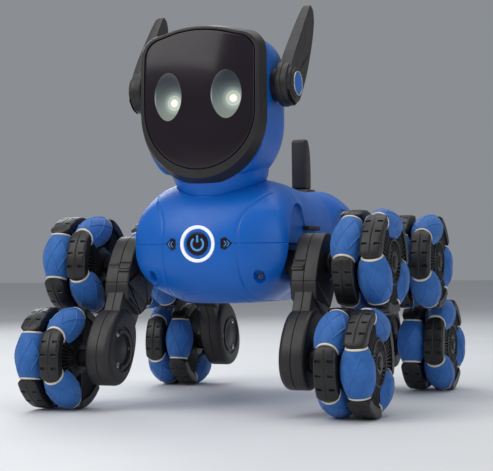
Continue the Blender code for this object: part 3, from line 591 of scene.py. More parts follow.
def metal(name, colour, roughness):
    nodes = Nodes(name)
    body = nodes.ramp(nodes.noise(300, 4), [(0.3, tuple(c * 0.8 for c in colour)), (0.7, colour)])
    nodes.link(body, nodes.shader.inputs["Base Color"])
    scratches = nodes.noise(500, 3, 0.6, (1.0, 1.0, 0.08))
    nodes.link(
        nodes.spread(scratches, roughness - 0.08, roughness + 0.12), nodes.shader.inputs["Roughness"]
    )
    nodes.set(Metallic=1.0)
    nodes.bump([(scratches, 0.05, 0.0002)])
    return nodes.material


def lens(name, colour):
    """Dark glossy cover with a faint haze of dust and smears."""
    nodes = Nodes(name)
    nodes.link(nodes.ramp(nodes.noise(18, 3), [(0.3, colour), (0.8, tuple(c * 1.5 for c in colour))]),
               nodes.shader.inputs["Base Color"])
    nodes.link(nodes.spread(nodes.noise(45, 6, 0.7), 0.12, 0.20), nodes.shader.inputs["Roughness"])
    nodes.set(Coat_Weight=0.1, Coat_Roughness=0.1, IOR=1.35)
    nodes.bump([(nodes.noise(30, 2), 0.02, 0.0002)])
    return nodes.material


def lamp(name, colour, glow, strength):
    """Milky plastic with a light behind it, brighter in its middle tone."""
    nodes = Nodes(name)
    nodes.link(nodes.ramp(nodes.noise(120, 3), [(0.3, tuple(c * 0.92 for c in colour)), (0.7, colour)]),
               nodes.shader.inputs["Base Color"])
    nodes.link(nodes.ramp(nodes.noise(90, 2), [(0.3, tuple(c * 0.9 for c in glow)), (0.7, glow)]),
               nodes.shader.inputs["Emission Color"])
    nodes.set(Emission_Strength=strength, Subsurface_Weight=0.1, Roughness=0.3)
    nodes.bump([(nodes.noise(700, 2), 0.03, 0.0002)])
    return nodes.material


def eye_glow(name, dot):
    """An eye that brightens downwards, with a bright rim low on one side and a ringed bright dot."""
    nodes = Nodes(name)
    split = nodes.add("SeparateXYZ")
    nodes.link(nodes.place, split.inputs["Vector"])
    height = nodes.add("MapRange")
    height.inputs["From Min"].default_value = -EYE_HALF_HEIGHT
    height.inputs["From Max"].default_value = EYE_HALF_HEIGHT
    nodes.link(split.outputs["Z"], height.inputs["Value"])
    fade = nodes.ramp(
        height.outputs["Result"],
        [
            (0.0, (0.27, 0.30, 0.25)), (1.0, (0.005, 0.005, 0.008)), (0.26, (0.20, 0.24, 0.22)),
            (0.55, (0.085, 0.105, 0.105)), (0.78, (0.020, 0.026, 0.030)),
        ],
    )
    side = nodes.add("MapRange")
    side.inputs["From Min"].default_value = -EYE_HALF_WIDTH
    side.inputs["From Max"].default_value = EYE_HALF_WIDTH
    nodes.link(split.outputs["X"], side.inputs["Value"])
    shade = nodes.ramp(side.outputs["Result"], [(0.0, 2.6), (1.0, 0.8), (0.07, 0.75)])
    fade = nodes.mix(1.0, fade, shade)
    fade.node.blend_type = "MULTIPLY"
    away = nodes.add("VectorMath", operation="DISTANCE")
    nodes.link(nodes.place, away.inputs[0])
    away.inputs[1].default_value = (dot[0], 0, dot[1])
    reach = nodes.add("MapRange")
    reach.inputs["From Min"].default_value = 0.0
    reach.inputs["From Max"].default_value = 12 * MM
    nodes.link(away.outputs["Value"], reach.inputs["Value"])
    halo = nodes.ramp(
        reach.outputs["Result"],
        [
            (0.17, (1.0, 1.0, 0.85)), (1.0, (0.0, 0.0, 0.0)), (0.23, (0.50, 0.53, 0.42)),
            (0.33, (0.30, 0.34, 0.28)), (0.38, (0.50, 0.54, 0.42)), (0.43, (0.20, 0.24, 0.21)),
            (0.70, (0.03, 0.035, 0.035)),
        ],
    )
    glow = nodes.mix(1.0, fade, halo)
    glow.node.blend_type = "ADD"
    nodes.link(glow, nodes.shader.inputs["Emission Color"])
    nodes.link(nodes.ramp(nodes.noise(60, 2), [(0.3, (0.02, 0.024, 0.03)), (0.7, (0.03, 0.035, 0.04))]),
               nodes.shader.inputs["Base Color"])
    nodes.set(Emission_Strength=1.0, Roughness=0.2, Specular_IOR_Level=0.25)
    return nodes.material


def board(name, colour):
    """Circuit board lacquer with copper tracks showing through."""
    nodes = Nodes(name)
    wave = nodes.add("TexWave")
    wave.inputs["Scale"].default_value = 180
    wave.inputs["Distortion"].default_value = 4
    nodes.link(nodes.place, wave.inputs["Vector"])
    nodes.link(nodes.ramp(wave.outputs["Fac"], [(0.45, colour), (0.6, tuple(c * 2.2 for c in colour))]),
               nodes.shader.inputs["Base Color"])
    nodes.set(Roughness=0.35, Coat_Weight=0.4)
    nodes.bump([(wave.outputs["Fac"], 0.1, 0.0002)])
    return nodes.material


BLUE = (0.002, 0.125, 0.54)
MATERIALS = {
    "blue_shell": moulded("blue_shell", BLUE, 0.36, tone=0.05, wear=0.1, specular=0.38),
    "dark_plastic": moulded(
        "dark_plastic", (0.020, 0.0175, 0.0185), 0.42, 1100, 0.10, wear=0.12, specular=0.42
    ),
    "blue_rubber": rubber("blue_rubber", (0.012, 0.120, 0.41), 0.60),
    "cream_plastic": moulded("cream_plastic", (0.74, 0.66, 0.56), 0.42, wear=0.2),
    "steel": metal("steel", (0.62, 0.62, 0.64), 0.3),
    # A darker copy of the steel, used only for the chest screws: painted shade for the deep wells they sit in
    "shaded_steel": metal("shaded_steel", (0.20, 0.20, 0.21), 0.38),
    "belt_rubber": rubber("belt_rubber", (0.012, 0.012, 0.012), 0.8),
    "circuit_green": board("circuit_green", (0.01, 0.12, 0.04)),
    "battery_wrap": moulded("battery_wrap", (0.02, 0.16, 0.06), 0.3),
    "dark_lens": lens("dark_lens", (0.012, 0.008, 0.013)),
    "eye_light": lamp("eye_light", (0.5, 0.65, 0.65), (0.5, 0.7, 0.65), 1.0),
    "white_light": lamp("white_light", (0.86, 0.86, 0.95), (0.85, 0.85, 1.0), 0.35),
    "pale_blue": moulded("pale_blue", (0.10, 0.36, 0.80), 0.35),
    "frame_black": moulded(
        "frame_black", (0.012, 0.012, 0.013), 0.38, 1000, 0.06, wear=0.12, specular=0.42
    ),
}


# ---------------------------------------------------------------- pieces


def piece(name, mesh, look, body, replaces=(), matrix=None, sharp=38):
    """One named object of the visual model, riding on a CAD body."""
    mesh.name = name
    made = bpy.data.objects.new(name, mesh)
    bpy.context.scene.collection.objects.link(made)
    if matrix is not None:
        made.matrix_world = matrix
    if not mesh.materials:
        mesh.materials.append(MATERIALS[look] if isinstance(look, str) else look)
        mesh.shade_smooth()
        mesh.set_sharp_from_angle(angle=math.radians(sharp))
    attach(made, body)
    if replaces:
        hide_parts(*replaces)
    return made


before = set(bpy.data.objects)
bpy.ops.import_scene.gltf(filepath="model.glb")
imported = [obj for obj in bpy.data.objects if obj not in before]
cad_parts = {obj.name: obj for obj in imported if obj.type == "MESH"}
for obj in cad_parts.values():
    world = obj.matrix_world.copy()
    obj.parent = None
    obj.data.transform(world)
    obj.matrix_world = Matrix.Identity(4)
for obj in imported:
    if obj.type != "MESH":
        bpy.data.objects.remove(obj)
cad_low, cad_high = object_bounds()


# ---------------------------------------------------------------- torso


def torso_half_width(y):
    front = CHEST_X * round_end(np.minimum(0, y + SHOULDER_Y), CHEST_LENGTH)
    rear = RUMP_X * round_end(np.maximum(0, y - SHOULDER_Y), RUMP_LENGTH)
    waist = blend(WAIST_X, FLANK_X, (np.abs(y) - WAIST_HALF_LENGTH) / WAIST_BLEND)
    width = smooth_min(smooth_min(front, waist, FLANK_ROUNDING), rear, FLANK_ROUNDING)
    within = np.abs(y - (TORSO_FRONT_Y + TORSO_REAR_Y) / 2) < (TORSO_REAR_Y - TORSO_FRONT_Y) / 2
    return np.maximum(0, width) * within


def torso_top(y):
    dome = SEAM_Z + (DOME_TOP_Z - SEAM_Z) * round_end(np.minimum(0, y - DOME_FRONT_Y), DOME_LENGTH)
    saddle = blend(DOME_TOP_Z, SADDLE_Z, (y - DOME_REAR_Y) / SADDLE_LENGTH)
    rump = blend(SADDLE_Z, RUMP_Z, (y - SADDLE_Y) / SADDLE_LENGTH)
    tail = SEAM_Z + (RUMP_Z - SEAM_Z) * round_end(np.maximum(0, y - RUMP_Y), TORSO_REAR_Y - RUMP_Y, 2.3)
    return np.select([y < DOME_FRONT_Y, y < SADDLE_Y, y < RUMP_Y], [dome, saddle, rump], tail)


def torso_bottom(y):
    front = round_end(np.minimum(0, y - BELLY_FRONT_Y), BELLY_FRONT_Y - TORSO_FRONT_Y, BELLY_POWER)
    rear = round_end(np.maximum(0, y - BELLY_REAR_Y), TORSO_REAR_Y - BELLY_REAR_Y, BELLY_POWER)
    return SEAM_Z - BELLY_DEPTH * np.minimum(front, rear)


def torso_power(y):
    return blend(2.3, 3.2, (y - TORSO_FRONT_Y) / (45 * MM)) - blend(0, 0.7, (y - 40 * MM) / (60 * MM))


def recess_distance(y, z):
    """Below 0 inside the recess at either hip."""
    return ellipse_distance(np.abs(y), z, (HIP_Y - RECESS_SHIFT_Y, HIP_Z), RECESS_RADII)


def neck_cone_z(x, y):
    """Height of the dish that the neck turns in."""
    heights, radii = zip(*NECK_CONE)
    return np.interp(np.hypot(x, y - NECK_Y) - NECK_GAP, radii, heights, right=1.0)


def torso_surface(up):
    """surface(u, v) of the upper (up = 1) or lower (up = -1) half: u runs to the rear and v across."""

    def surface(u, v):
        y = TORSO_FRONT_Y + (TORSO_REAR_Y - TORSO_FRONT_Y) * (1 - np.cos(math.pi * u)) / 2
        angle = math.pi * (v if up > 0 else 1 - v)
        power = torso_power(y) if up > 0 else 2.5
        across, rise = np.cos(angle), np.sin(angle)
        reach = (np.abs(across) ** power + np.abs(rise) ** power) ** (-1 / power)
        x = torso_half_width(y) * reach * across
        height = (torso_top(y) if up > 0 else torso_bottom(y)) - SEAM_Z
        z = SEAM_Z + height * reach * rise
        if up > 0:
            bulge = np.exp(-(((np.abs(x) - 30 * MM) / (15 * MM)) ** 2) - ((y - 80 * MM) / (22 * MM)) ** 2)
            z = z + 4 * MM * bulge * rise
            z = np.minimum(z, neck_cone_z(x, y))
        else:
            z = smooth_max(z, BELLY_Z, 1.5 * MM)
        deep = np.maximum(0, np.abs(x) - RECESS_X) * step(-recess_distance(y, z) / RECESS_WALL)
        x = np.sign(x) * (np.abs(x) - deep)
        return np.column_stack((x, y, z))

    return surface


def in_front(x, y, z):
    return only(y < -40 * MM)


def crease_x(z):
    """Half width of the chest's middle panel: narrow at the seam, wider above and below."""
    above = 13 * MM * (np.maximum(0, z - 121 * MM) / (23 * MM)) ** 2
    below = 2 * MM * (np.maximum(0, SEAM_Z - z) / (37 * MM)) ** 2
    return 27.2 * MM + above + below


def crease_distance(x, y, z):
    tall = np.maximum(0, z - 146 * MM) * 3
    return (np.abs(x) - crease_x(z)) * 0.8 + in_front(x, y, z) + tall


def chest_features(up):
    def seam(x, y, z):
        return np.abs(z - SEAM_Z)

    features = [
        groove(seam, 0.45 * MM, 1.1 * MM),
        groove(crease_distance, 0.35 * MM, 1.6 * MM),
        pocket(crease_distance, -0.35 * MM, 2.0 * MM),
        pocket(lambda x, y, z: np.hypot(x, z - SEAM_Z) - 12.4 * MM + in_front(x, y, z), 4 * MM, 0.5 * MM),
    ]
    for side in SIDES.values():
        outline = rounded([(side * (ARROW_X + a), SEAM_Z + b) for a, b in ARROW], 0.6 * MM)

        def arrow(x, y, z, outline=outline):
            return polygon_distance(x, z, outline) - 0.3 * MM + in_front(x, y, z)

        features.append(pocket(arrow, 1.0 * MM, 0.4 * MM))
    if up < 0:
        well = lambda x, y, z: ellipse_distance(
            np.abs(x), z, SCREW_WELL, mm((3.75, 4.9))
        ) + in_front(x, y, z)
        features.append(pocket(well, 6.5 * MM, 1.2 * MM))
        plate = lambda x, y, z: ellipse_distance(x, z, (0, 73.8 * MM), mm((23, 6.2))) + in_front(x, y, z)
        features.append(groove(plate, 0.4 * MM, 0.9 * MM))
    return features


def polygon_distance(a, b, outline):
    """Below 0 inside a polygon."""
    distance = line_distance(a, b, outline + outline[:1])
    inside = np.zeros(np.shape(a), bool)
    for (a0, b0), (a1, b1) in zip(outline, outline[1:] + outline[:1]):
        crosses = ((b0 > b) != (b1 > b)) & (a < (a1 - a0) * (b - b0) / (b1 - b0 + 1e-12) + a0)
        inside ^= crosses
    return np.where(inside, -distance, distance)


def back_features():
    """Lines on the upper shell behind the chest: the panel round the neck and the flanks' trim lines."""
    neck_line = lambda x, y, z: line_distance(x, y, rounded(
        mm([(-28, -98), (-36, -92), (-39, -80)]), 6 * MM, False)) + only(z > 135 * MM)
    spine = lambda x, y, z: np.abs(np.abs(x) - blend(20 * MM, 15 * MM, (y + 30 * MM) / (60 * MM))) + only(
        (z > 140 * MM) & (y > -28 * MM) & (y < 72 * MM))
    flank = lambda x, y, z: line_distance(y, z, mm([(-36, 138), (-31, 137), (-24, 119)])) + only(
        np.abs(x) > 40 * MM)
    return [
        groove(neck_line, 0.5 * MM, 1.2 * MM), groove(spine, 0.3 * MM, 1.0 * MM),
        groove(flank, 0.4 * MM, 0.9 * MM),
    ]


def belly_features():
    """Lower shell: the battery cover's bed, the switch's slot and four screw wells."""
    under = lambda x, y, z: only(z < BELLY_Z + 6 * MM)
    bed = lambda x, y, z: box_distance(x, y, (0, 0), mm((24.3, 32.3)), 3 * MM) + under(x, y, z)
    slot = lambda x, y, z: box_distance(x, y, mm((2, 60)), mm((5, 2.6)), 0.8 * MM) + under(x, y, z)
    frame_line = lambda x, y, z: box_distance(x, y, mm((2, 60)), mm((9, 6)), 2 * MM) + under(x, y, z)
    wells = lambda x, y, z: np.hypot(np.abs(x) - 27 * MM, np.abs(y) - 44 * MM) - 3.4 * MM + under(x, y, z)
    return [
        pocket(bed, 2.4 * MM, 0.4 * MM), pocket(slot, 4 * MM, 0.4 * MM),
        groove(frame_line, 0.35 * MM, 0.8 * MM), pocket(wells, 3 * MM, 0.5 * MM),
    ]


def front_y(x, z):
    """Where the bare chest surface lies at (x, z), on the front."""
    low, high = TORSO_FRONT_Y, -30 * MM
    for _ in range(40):
        y = (low + high) / 2
        power = float(torso_power(np.array(y))) if z > SEAM_Z else 2.5
        top = float(torso_top(np.array(y)) - SEAM_Z if z > SEAM_Z else SEAM_Z - torso_bottom(np.array(y)))
        wide = float(torso_half_width(np.array(y)))
        full = (abs(x) / max(wide, 1e-9)) ** power + (abs(z - SEAM_Z) / max(top, 1e-9)) ** power
        low, high = (y, high) if full > 1 else (low, y)
    return (low + high) / 2


def screw_mesh(radius, depth):
    """A cross-head screw that looks along -Y, its head's top at the origin. Its cross is a thin block laid just
    proud of the solid head, which add_screw draws near-black: painted shade where the recess would be.
    """
    head = turned(
        "screw",
        [(depth, radius * 0.5), (0.6 * MM, radius), (0.15 * MM, radius), (0, radius * 0.85), (0, 0)], "Y",
        steps=24,
    )
    bar = radius * 0.62
    slots = [block("bar", (-bar, -0.02 * MM, -radius * 0.13), (bar, 0.3 * MM, radius * 0.13)),
             block("bar", (-radius * 0.13, -0.02 * MM, -bar), (radius * 0.13, 0.3 * MM, bar))]
    return head, united("slots", *slots)


def add_screw(name, body, place, direction, radius=2.4 * MM, look="steel", depth=4 * MM):
    """A screw with its head's top at a place, looking in a direction."""
    turn = Vector((0, -1, 0)).rotation_difference(Vector(direction)).to_matrix().to_4x4()
    head, slots = screw_mesh(radius, depth)
    matrix = Matrix.Translation(Vector(place)) @ turn
    piece(name, head, look, body, matrix=matrix)
    # Near-black cross over the steel head: painted shade standing in for the recessed slots
    piece(name + "_slots", slots, "frame_black", body, matrix=matrix)


def add_torso():
    wall = lambda x, y, z: np.abs(recess_distance(y, z) + RECESS_WALL / 2) - RECESS_WALL / 2 + only(
        np.abs(x) > RECESS_X - 1 * MM)
    seat = lambda x, y, z: np.hypot(x, y - NECK_Y) - 38 * MM + only(z > 135 * MM)
    upper = skin(
        "upper", torso_surface(1), 130, 76, chest_features(1) + back_features(), [wall, seat], fill=True
    )
    piece("torso_upper_shell_skin", upper, "blue_shell", "torso", replaces=["torso_upper_shell"])
    lower = skin(
        "lower", torso_surface(-1), 120, 70, chest_features(-1) + belly_features(), [wall], fill=True
    )
    piece("torso_lower_shell_skin", lower, "blue_shell", "torso", replaces=["torso_lower_shell"])
    for side_name, side in SIDES.items():
        y = front_y(*SCREW_WELL)
        # These screws take the darker copy of the steel: painted shade inside their wells
        add_screw(
            f"{side_name}_chest_screw", "torso",
            (side * (SCREW_WELL[0] - 1.5 * MM), y + 6.2 * MM, SCREW_WELL[1]), (side * 0.35, -0.93, -0.1),
            look="shaded_steel",
        )
        bar = block(
            "bar", (side * 51.4 * MM - 2.4 * MM, -35 * MM, 121.6 * MM),
            (side * 51.4 * MM + 2.4 * MM, -10 * MM, 124.6 * MM), 0.8 * MM, 0.5 * MM,
        )
        piece(f"{side_name}_flank_bar", bar, "dark_plastic", "torso")
    neck_ring = turned("ring", mm([(142, 24), (142, 26.4), (144.1, 26.9), (144.5, 26.3),
                                (143.2, 24)]), "Z", (0, NECK_Y), 128, 0.2 * MM, closed=True)
    piece("neck_ring_lip", neck_ring, "blue_shell", "torso", replaces=["neck_ring"])


def add_chest():
    ring = turned(
        "ring",
        [
            (RING_FRONT_Y, RING_INNER_RADIUS), (RING_FRONT_Y, RING_RADIUS), (-101 * MM, RING_RADIUS),
            (-101 * MM, RING_INNER_RADIUS),
        ],
        "Y", (0, SEAM_Z), 96, 0.5 * MM, closed=True,
    )
    piece("chest_light_ring_glow", ring, "white_light", "torso", replaces=["chest_light_ring"])
    front = RING_FRONT_Y + 0.5 * MM
    body = turned(
        "button",
        [
            (-99 * MM, 0), mm((-99, 9.7)), (front, 9.7 * MM), (front, 7.9 * MM),
            (front + 0.8 * MM, 7.7 * MM), (front + 0.8 * MM, 0),
        ],
        "Y", (0, SEAM_Z), 96, 0.25 * MM,
    )
    piece("chest_button_body", body, "blue_shell", "chest_button", replaces=["chest_button"])
    disc = turned(
        "disc",
        [
            (front + 2 * MM, 0), (front + 2 * MM, 7.55 * MM), (front + 0.2 * MM, 7.55 * MM),
            (front, 7.0 * MM), (front, 0),
        ],
        "Y", (0, SEAM_Z), 72, 0.2 * MM,
    )
    piece("chest_button_disc", disc, "dark_lens", "chest_button")
    opening = math.radians(38)
    curve = sector((0, SEAM_Z), 3.5 * MM, 4.9 * MM, math.pi / 2 + opening, math.pi * 2.5 - opening, 36)
    stem = rectangle(0.7 * MM, 2.4 * MM, (0, SEAM_Z + 3.4 * MM), 0.4 * MM)
    ends = (front - 0.15 * MM, front + 0.3 * MM)
    mark = united("mark", prism("arc", curve, "Y", *ends), prism("stem", stem, "Y", *ends))
    piece("chest_button_power_mark", mark, "pale_blue", "chest_button")
    for side_name, side in SIDES.items():
        y = front_y(ARROW_X, SEAM_Z)
        outline = rounded([(side * a, b) for a, b in ARROW], 0.7 * MM)
        arrow = prism("arrow", outline, "Y", -0.5 * MM, 3 * MM, 0.35 * MM)
        tilt = Matrix.Translation((side * ARROW_X, y + 0.35 * MM, SEAM_Z)) @ Matrix.Rotation(
            side * math.radians(9), 4, "Z"
        )
        piece(
            f"{side_name}_turn_light_lens", arrow, "dark_lens", "torso",
            replaces=[f"{side_name}_turn_light"], matrix=tilt,
        )
        chevrons = []
        for at in mm((-1.9, 0.1)):
            chevron = [
                (at, -1.9 * MM), (at + 0.6 * MM, -1.9 * MM), (at + 2.1 * MM, 0), (at + 0.6 * MM, 1.9 * MM),
                (at, 1.9 * MM), (at + 1.5 * MM, 0),
            ]
            chevrons.append(
                prism("chevron", [(side * a, b) for a, b in chevron], "Y", -0.62 * MM, -0.3 * MM)
            )
        piece(
            f"{side_name}_turn_light_chevrons", united("chevrons", *chevrons), "pale_blue", "torso",
            matrix=tilt,
        )


def add_underside():
    cover = block(
        "cover", (-24 * MM, -32 * MM, BELLY_Z), (24 * MM, 32 * MM, BELLY_Z + 2 * MM), 3 * MM, 0.4 * MM
    )
    ribs = [
        block(
            "rib", (-14 * MM, y * MM, BELLY_Z - 0.3 * MM), (14 * MM, y * MM + 1.2 * MM, BELLY_Z + 0.5 * MM),
            0.5 * MM, 0.2 * MM,
        ) for y in (18, 21, 24)
    ]
    piece(
        "battery_cover_plate", united("cover", cover, *ribs), "blue_shell", "torso",
        replaces=["battery_cover"],
    )
    for i, (x, y) in enumerate(((-17, -26), (17, -26))):
        add_screw(
            f"battery_cover_screw_{i + 1}", "torso", (x * MM, y * MM, BELLY_Z - 0.1 * MM), (0, 0, -1),
            2.2 * MM,
        )
    for i, (x, y) in enumerate(((-27, -44), (27, -44), (-27, 44), (27, 44))):
        add_screw(
            f"belly_screw_{i + 1}", "torso", (x * MM, y * MM, BELLY_Z + 2.4 * MM), (0, 0, -1), 2.4 * MM
        )
    low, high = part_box("power_switch")
    knob = block("knob", low, high, 0.5 * MM, 0.3 * MM)
    piece("power_switch_knob", knob, "dark_plastic", "power_switch", replaces=["power_switch"])


def add_tail():
    low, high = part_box("tail")
    base_low, base_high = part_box("tail_base")
    rear = [
        (high.y - back * MM, high.z - down * MM) for back, down in (
            (0, 24), (0.6, 15), (2.2, 7.5), (5, 2), (7, 0)
        )
    ]
    outline = [(low.y, low.z), (high.y, low.z), *rear, (low.y + 1.5 * MM, high.z), (low.y, high.z - 2 * MM)]
    outline = rounded(outline, 2 * MM)
    tail = prism("tail", outline, "X", low.x, high.x, 1.6 * MM, 5)
    piece("tail_blade", tail, "dark_plastic", "torso", replaces=["tail"])
    outline = rounded([(base_low.y, base_low.z), (base_high.y, base_low.z), (base_high.y, base_high.z),
                       (base_low.y + 10 * MM, base_high.z), (base_low.y, 148.5 * MM)], 1.5 * MM)
    base = prism("base", outline, "X", base_low.x, base_high.x, 1.2 * MM, 4)
    piece("tail_base_wedge", base, "dark_plastic", "torso", replaces=["tail_base"])


# ---------------------------------------------------------------- head


def shield(half_width, top, bottom, corner, power=2.0, rise=BROW_RISE):
    """Outline of the face, as (x, z): an arched brow, rounded corners, straight sides and a round chin."""
    chin = (top - bottom) * 0.43
    chin_z = bottom + chin
    angle = np.linspace(math.pi, 2 * math.pi, 65)
    across, down = np.cos(angle), np.sin(angle)
    reach = (np.abs(across) ** power + np.abs(down) ** power) ** (-1 / power)
    points = list(zip(half_width * reach * across, chin_z + chin * reach * down))
    shoulder, brow = top - rise, half_width - corner
    for i in range(1, 9):
        points.append((half_width, chin_z + (shoulder - corner - chin_z) * i / 9))
    points += arc((brow, shoulder - corner), (corner, corner), 0, math.pi / 2, 14)
    for i in range(1, 16):
        x = brow * (1 - i / 8)
        points.append((x, shoulder + rise * (1 - (x / brow) ** 2)))
    points += arc((-brow, shoulder - corner), (corner, corner), math.pi / 2, math.pi, 14)
    for i in range(1, 9):
        points.append((-half_width, shoulder - corner + (chin_z - shoulder + corner) * i / 9))
    return np.array(points)


def face_y(x, z):
    """Depth of the bulging face at (x, z)."""
    return FACE_CENTRE_Y + FACE_BULGE * (
        0.85 * (x / SCREEN_HALF_WIDTH) ** 2 + 0.55 * ((z - FACE_MIDDLE_Z) / (46 * MM)) ** 2
    )


def smoothed(outline, passes=2):
    for _ in range(passes):
        outline = (np.roll(outline, 1, 0) + 2 * outline + np.roll(outline, -1, 0)) / 4
    return outline


def face_ring(outline, depth, flat=None):
    """The outline as a ring at a depth behind the bulging face, or at one flat y."""
    return [(x, face_y(x, z) + depth if flat is None else flat, z) for x, z in outline]


def head_ring(y, draw_in=0.0):
    shrink = float(round_end(max(0.0, y - HEAD_FULL_Y), HEAD_BACK_Y - HEAD_FULL_Y, 2.2))
    half_width = HEAD_HALF_WIDTH * shrink - draw_in
    top = HEAD_MIDDLE_Z + (HEAD_TOP_Z - HEAD_MIDDLE_Z) * shrink - draw_in
    bottom = HEAD_MIDDLE_Z - (HEAD_MIDDLE_Z - HEAD_LOW_Z) * shrink + draw_in
    corner = max(half_width, 1e-6) * float(blend(0.36, 0.50, (y - BEZEL_BACK_Y) / (30 * MM)))
    outline = smoothed(shield(max(half_width, 1e-6), top, bottom, corner, 2.1, BROW_RISE * shrink))
    low = smooth_max(outline[:, 1], HEAD_UNDERSIDE_Z + draw_in, 4 * MM)
    return [(x, y, z) for (x, _), z in zip(outline, low)]


def head_shell(name, front, back, front_edge, back_edge):
    """A stretch of the head between two depths, with a soft edge at each end that has one."""
    rings = []
    if front_edge:
        rings += [
            head_ring(front, 1.2 * MM), head_ring(front + 0.05 * MM, 0.35 * MM),
            head_ring(front + 0.4 * MM, 0.06 * MM),
        ]
    first = front + 0.8 * MM if front_edge else front
    last = back - 0.8 * MM if back_edge else back
    for i in range(33):
        share = math.sin(math.pi / 2 * i / 32) if not back_edge else i / 32
        rings.append(head_ring(first + (last - first) * share))
    if back_edge:
        rings += [
            head_ring(back - 0.4 * MM, 0.06 * MM), head_ring(back - 0.05 * MM, 0.35 * MM),
            head_ring(back, 1.2 * MM),
        ]
    return loft(name, rings)


def add_head_shells():
    front = head_shell("front", BEZEL_BACK_Y + GAP, HEAD_SEAM_Y - GAP / 2, True, True)
    piece("head_front_shell_skin", front, "blue_shell", "head", replaces=["head_front_shell"])
    rear = head_shell("rear", HEAD_SEAM_Y + GAP / 2, HEAD_BACK_Y - 0.03 * MM, True, False)
    piece("head_rear_shell_skin", rear, "blue_shell", "head", replaces=["head_rear_shell"])
    profile = [(NECK_CONE[0][0] + 0.4 * MM, 0), (NECK_CONE[0][0] + 0.4 * MM, NECK_CONE[0][1])]
    profile += [*NECK_CONE[1:], mm((166, 34)), (166 * MM, 0)]
    neck = turned("neck", profile, "Z", (0, NECK_Y), 128, 0.8 * MM)
    piece("neck_skirt", neck, "blue_shell", "head")


def grown(outline, amount):
    return inset(outline, -amount)


def add_face():
    opening = smoothed(shield(SCREEN_HALF_WIDTH, SCREEN_TOP_Z, SCREEN_BOTTOM_Z, FACE_CORNER - 1 * MM))
    outer = smoothed(
        shield(BEZEL_HALF_WIDTH - 2.4 * MM, BEZEL_TOP_Z - 1.6 * MM, BEZEL_BOTTOM_Z + 4.2 * MM, FACE_CORNER)
    )
    side = smoothed(shield(BEZEL_HALF_WIDTH, BEZEL_TOP_Z, BEZEL_BOTTOM_Z, FACE_CORNER + 1 * MM))
    back = smoothed(
        shield(BEZEL_HALF_WIDTH + 0.6 * MM, BEZEL_TOP_Z + 0.3 * MM, BEZEL_BOTTOM_Z, FACE_CORNER + 1 * MM)
    )
    near = [0.06, 0.25, 0.5, 0.75, 0.93, 0.985]
    rings = [
        face_ring(opening, 3.2 * MM), face_ring(opening, 0.7 * MM),
        face_ring(grown(opening, 0.12 * MM), 0.3 * MM), face_ring(grown(opening, 0.45 * MM), 0),
    ]
    rings += [face_ring(opening * (1 - t) + outer * t, -0.15 * MM * math.sin(math.pi * t)) for t in near]
    rings += [face_ring(outer, 0.05 * MM), face_ring(grown(outer, 0.3 * MM), 0.35 * MM)]
    front_edge = np.array(face_ring(grown(outer, 0.35 * MM), 0.6 * MM))
    back_ring = np.array([(x, BEZEL_BACK_Y - 0.4 * MM, z) for x, z in back])
    for t in (0.0, 0.04, 0.3, 0.6, 0.85, 1.0):
        rings.append(front_edge * (1 - t) + back_ring * t)
    rings.append([(x, BEZEL_BACK_Y, z) for x, z in inset(back, 0.4 * MM)])
    rings.append([(x, BEZEL_BACK_Y, z) for x, z in inset(side, 3.0 * MM)])
    bezel = loft("bezel", rings, closed=True)
    piece("face_bezel_rim", bezel, "dark_plastic", "head", replaces=["face_bezel"])

    glass = inset(opening, 0.45 * MM)
    middle = np.array([(0, FACE_MIDDLE_Z)])
    rings = [
        face_ring(glass, 3.0 * MM), face_ring(glass, 0.9 * MM), face_ring(inset(glass, 0.1 * MM), 0.5 * MM),
        face_ring(inset(glass, 0.5 * MM), 0.25 * MM),
    ]
    rim = inset(glass, 1.2 * MM)
    for i in range(25):
        share = 1 - i / 24
        rings.append(face_ring(middle + (rim - middle) * max(share, 1e-4), 0.2 * MM))
    piece("face_screen_lens", loft("lens", rings), "dark_lens", "head", replaces=["face_screen"])

    for side_name, sign, dot in (("left", 1, mm((5.2, -3.2))), ("right", -1, mm((5.2, -4.6)))):
        upper = arc((0, 0), (EYE_HALF_WIDTH, EYE_HALF_HEIGHT), 0, math.pi, 32)
        lower = [
            (
                EYE_HALF_WIDTH * math.cos(a) * (1 - 0.10 * math.sin(a) ** 2), EYE_HALF_HEIGHT * math.sin(a)
            ) for a in np.linspace(math.pi, 2 * math.pi, 33)[1:-1]
        ]
        outline = np.array(upper + lower)
        rings = []
        for share, lift in (
            (1.0, 0.6), (1.0, 0.05), (0.985, -0.05), (0.95, -0.10), (0.8, -0.14),
            (0.6, -0.17), (0.4, -0.19), (0.2, -0.20), (0.001, -0.20),
        ):
            ring = []
            for x, z in outline * share:
                deep = face_y(sign * EYE_X + x, EYE_Z + z) - face_y(sign * EYE_X, EYE_Z)
                ring.append((x, deep + 0.2 * MM + lift * MM, z))
            rings.append(ring)
        place = Matrix.Translation((sign * EYE_X, face_y(sign * EYE_X, EYE_Z), EYE_Z))
        glow = eye_glow(f"{side_name}_eye_glow", dot)
        piece(
            f"{side_name}_eye_lamp", loft("eye", rings), glow, "head", [f"{side_name}_eye"],
            place,
        )


def ear_blade():
    """Left ear's blade, upright about its pivot: a leaf with crisp edges and a broad flat front edge."""
    under = [(-13.6 + 0.6 * abs(i), -2.4 * i) for i in range(-3, 4)]
    outline = [(-forward * MM, up * MM) for up, forward in EAR_FRONT + EAR_REAR + tuple(under)]
    outline = smoothed(np.array(rounded(outline, 4 * MM, steps=6)), 1)
    ups, inner_x, outer_x = np.array(EAR_THICKNESS).T * MM
    rings = []
    for side, amount in (
        (0, 1.2), (0, 0.5), (0.03, 0.12), (0.10, 0), (0.5, 0), (0.90, 0), (0.97, 0.12), (1, 0.5), (1, 1.2),
    ):
        ring = []
        for y, up in inset(outline, amount * MM):
            low, high = np.interp(up, ups, inner_x), np.interp(up, ups, outer_x)
            ring.append((low + (high - low) * side, y, up))
        rings.append(ring)
    return loft("blade", rings)


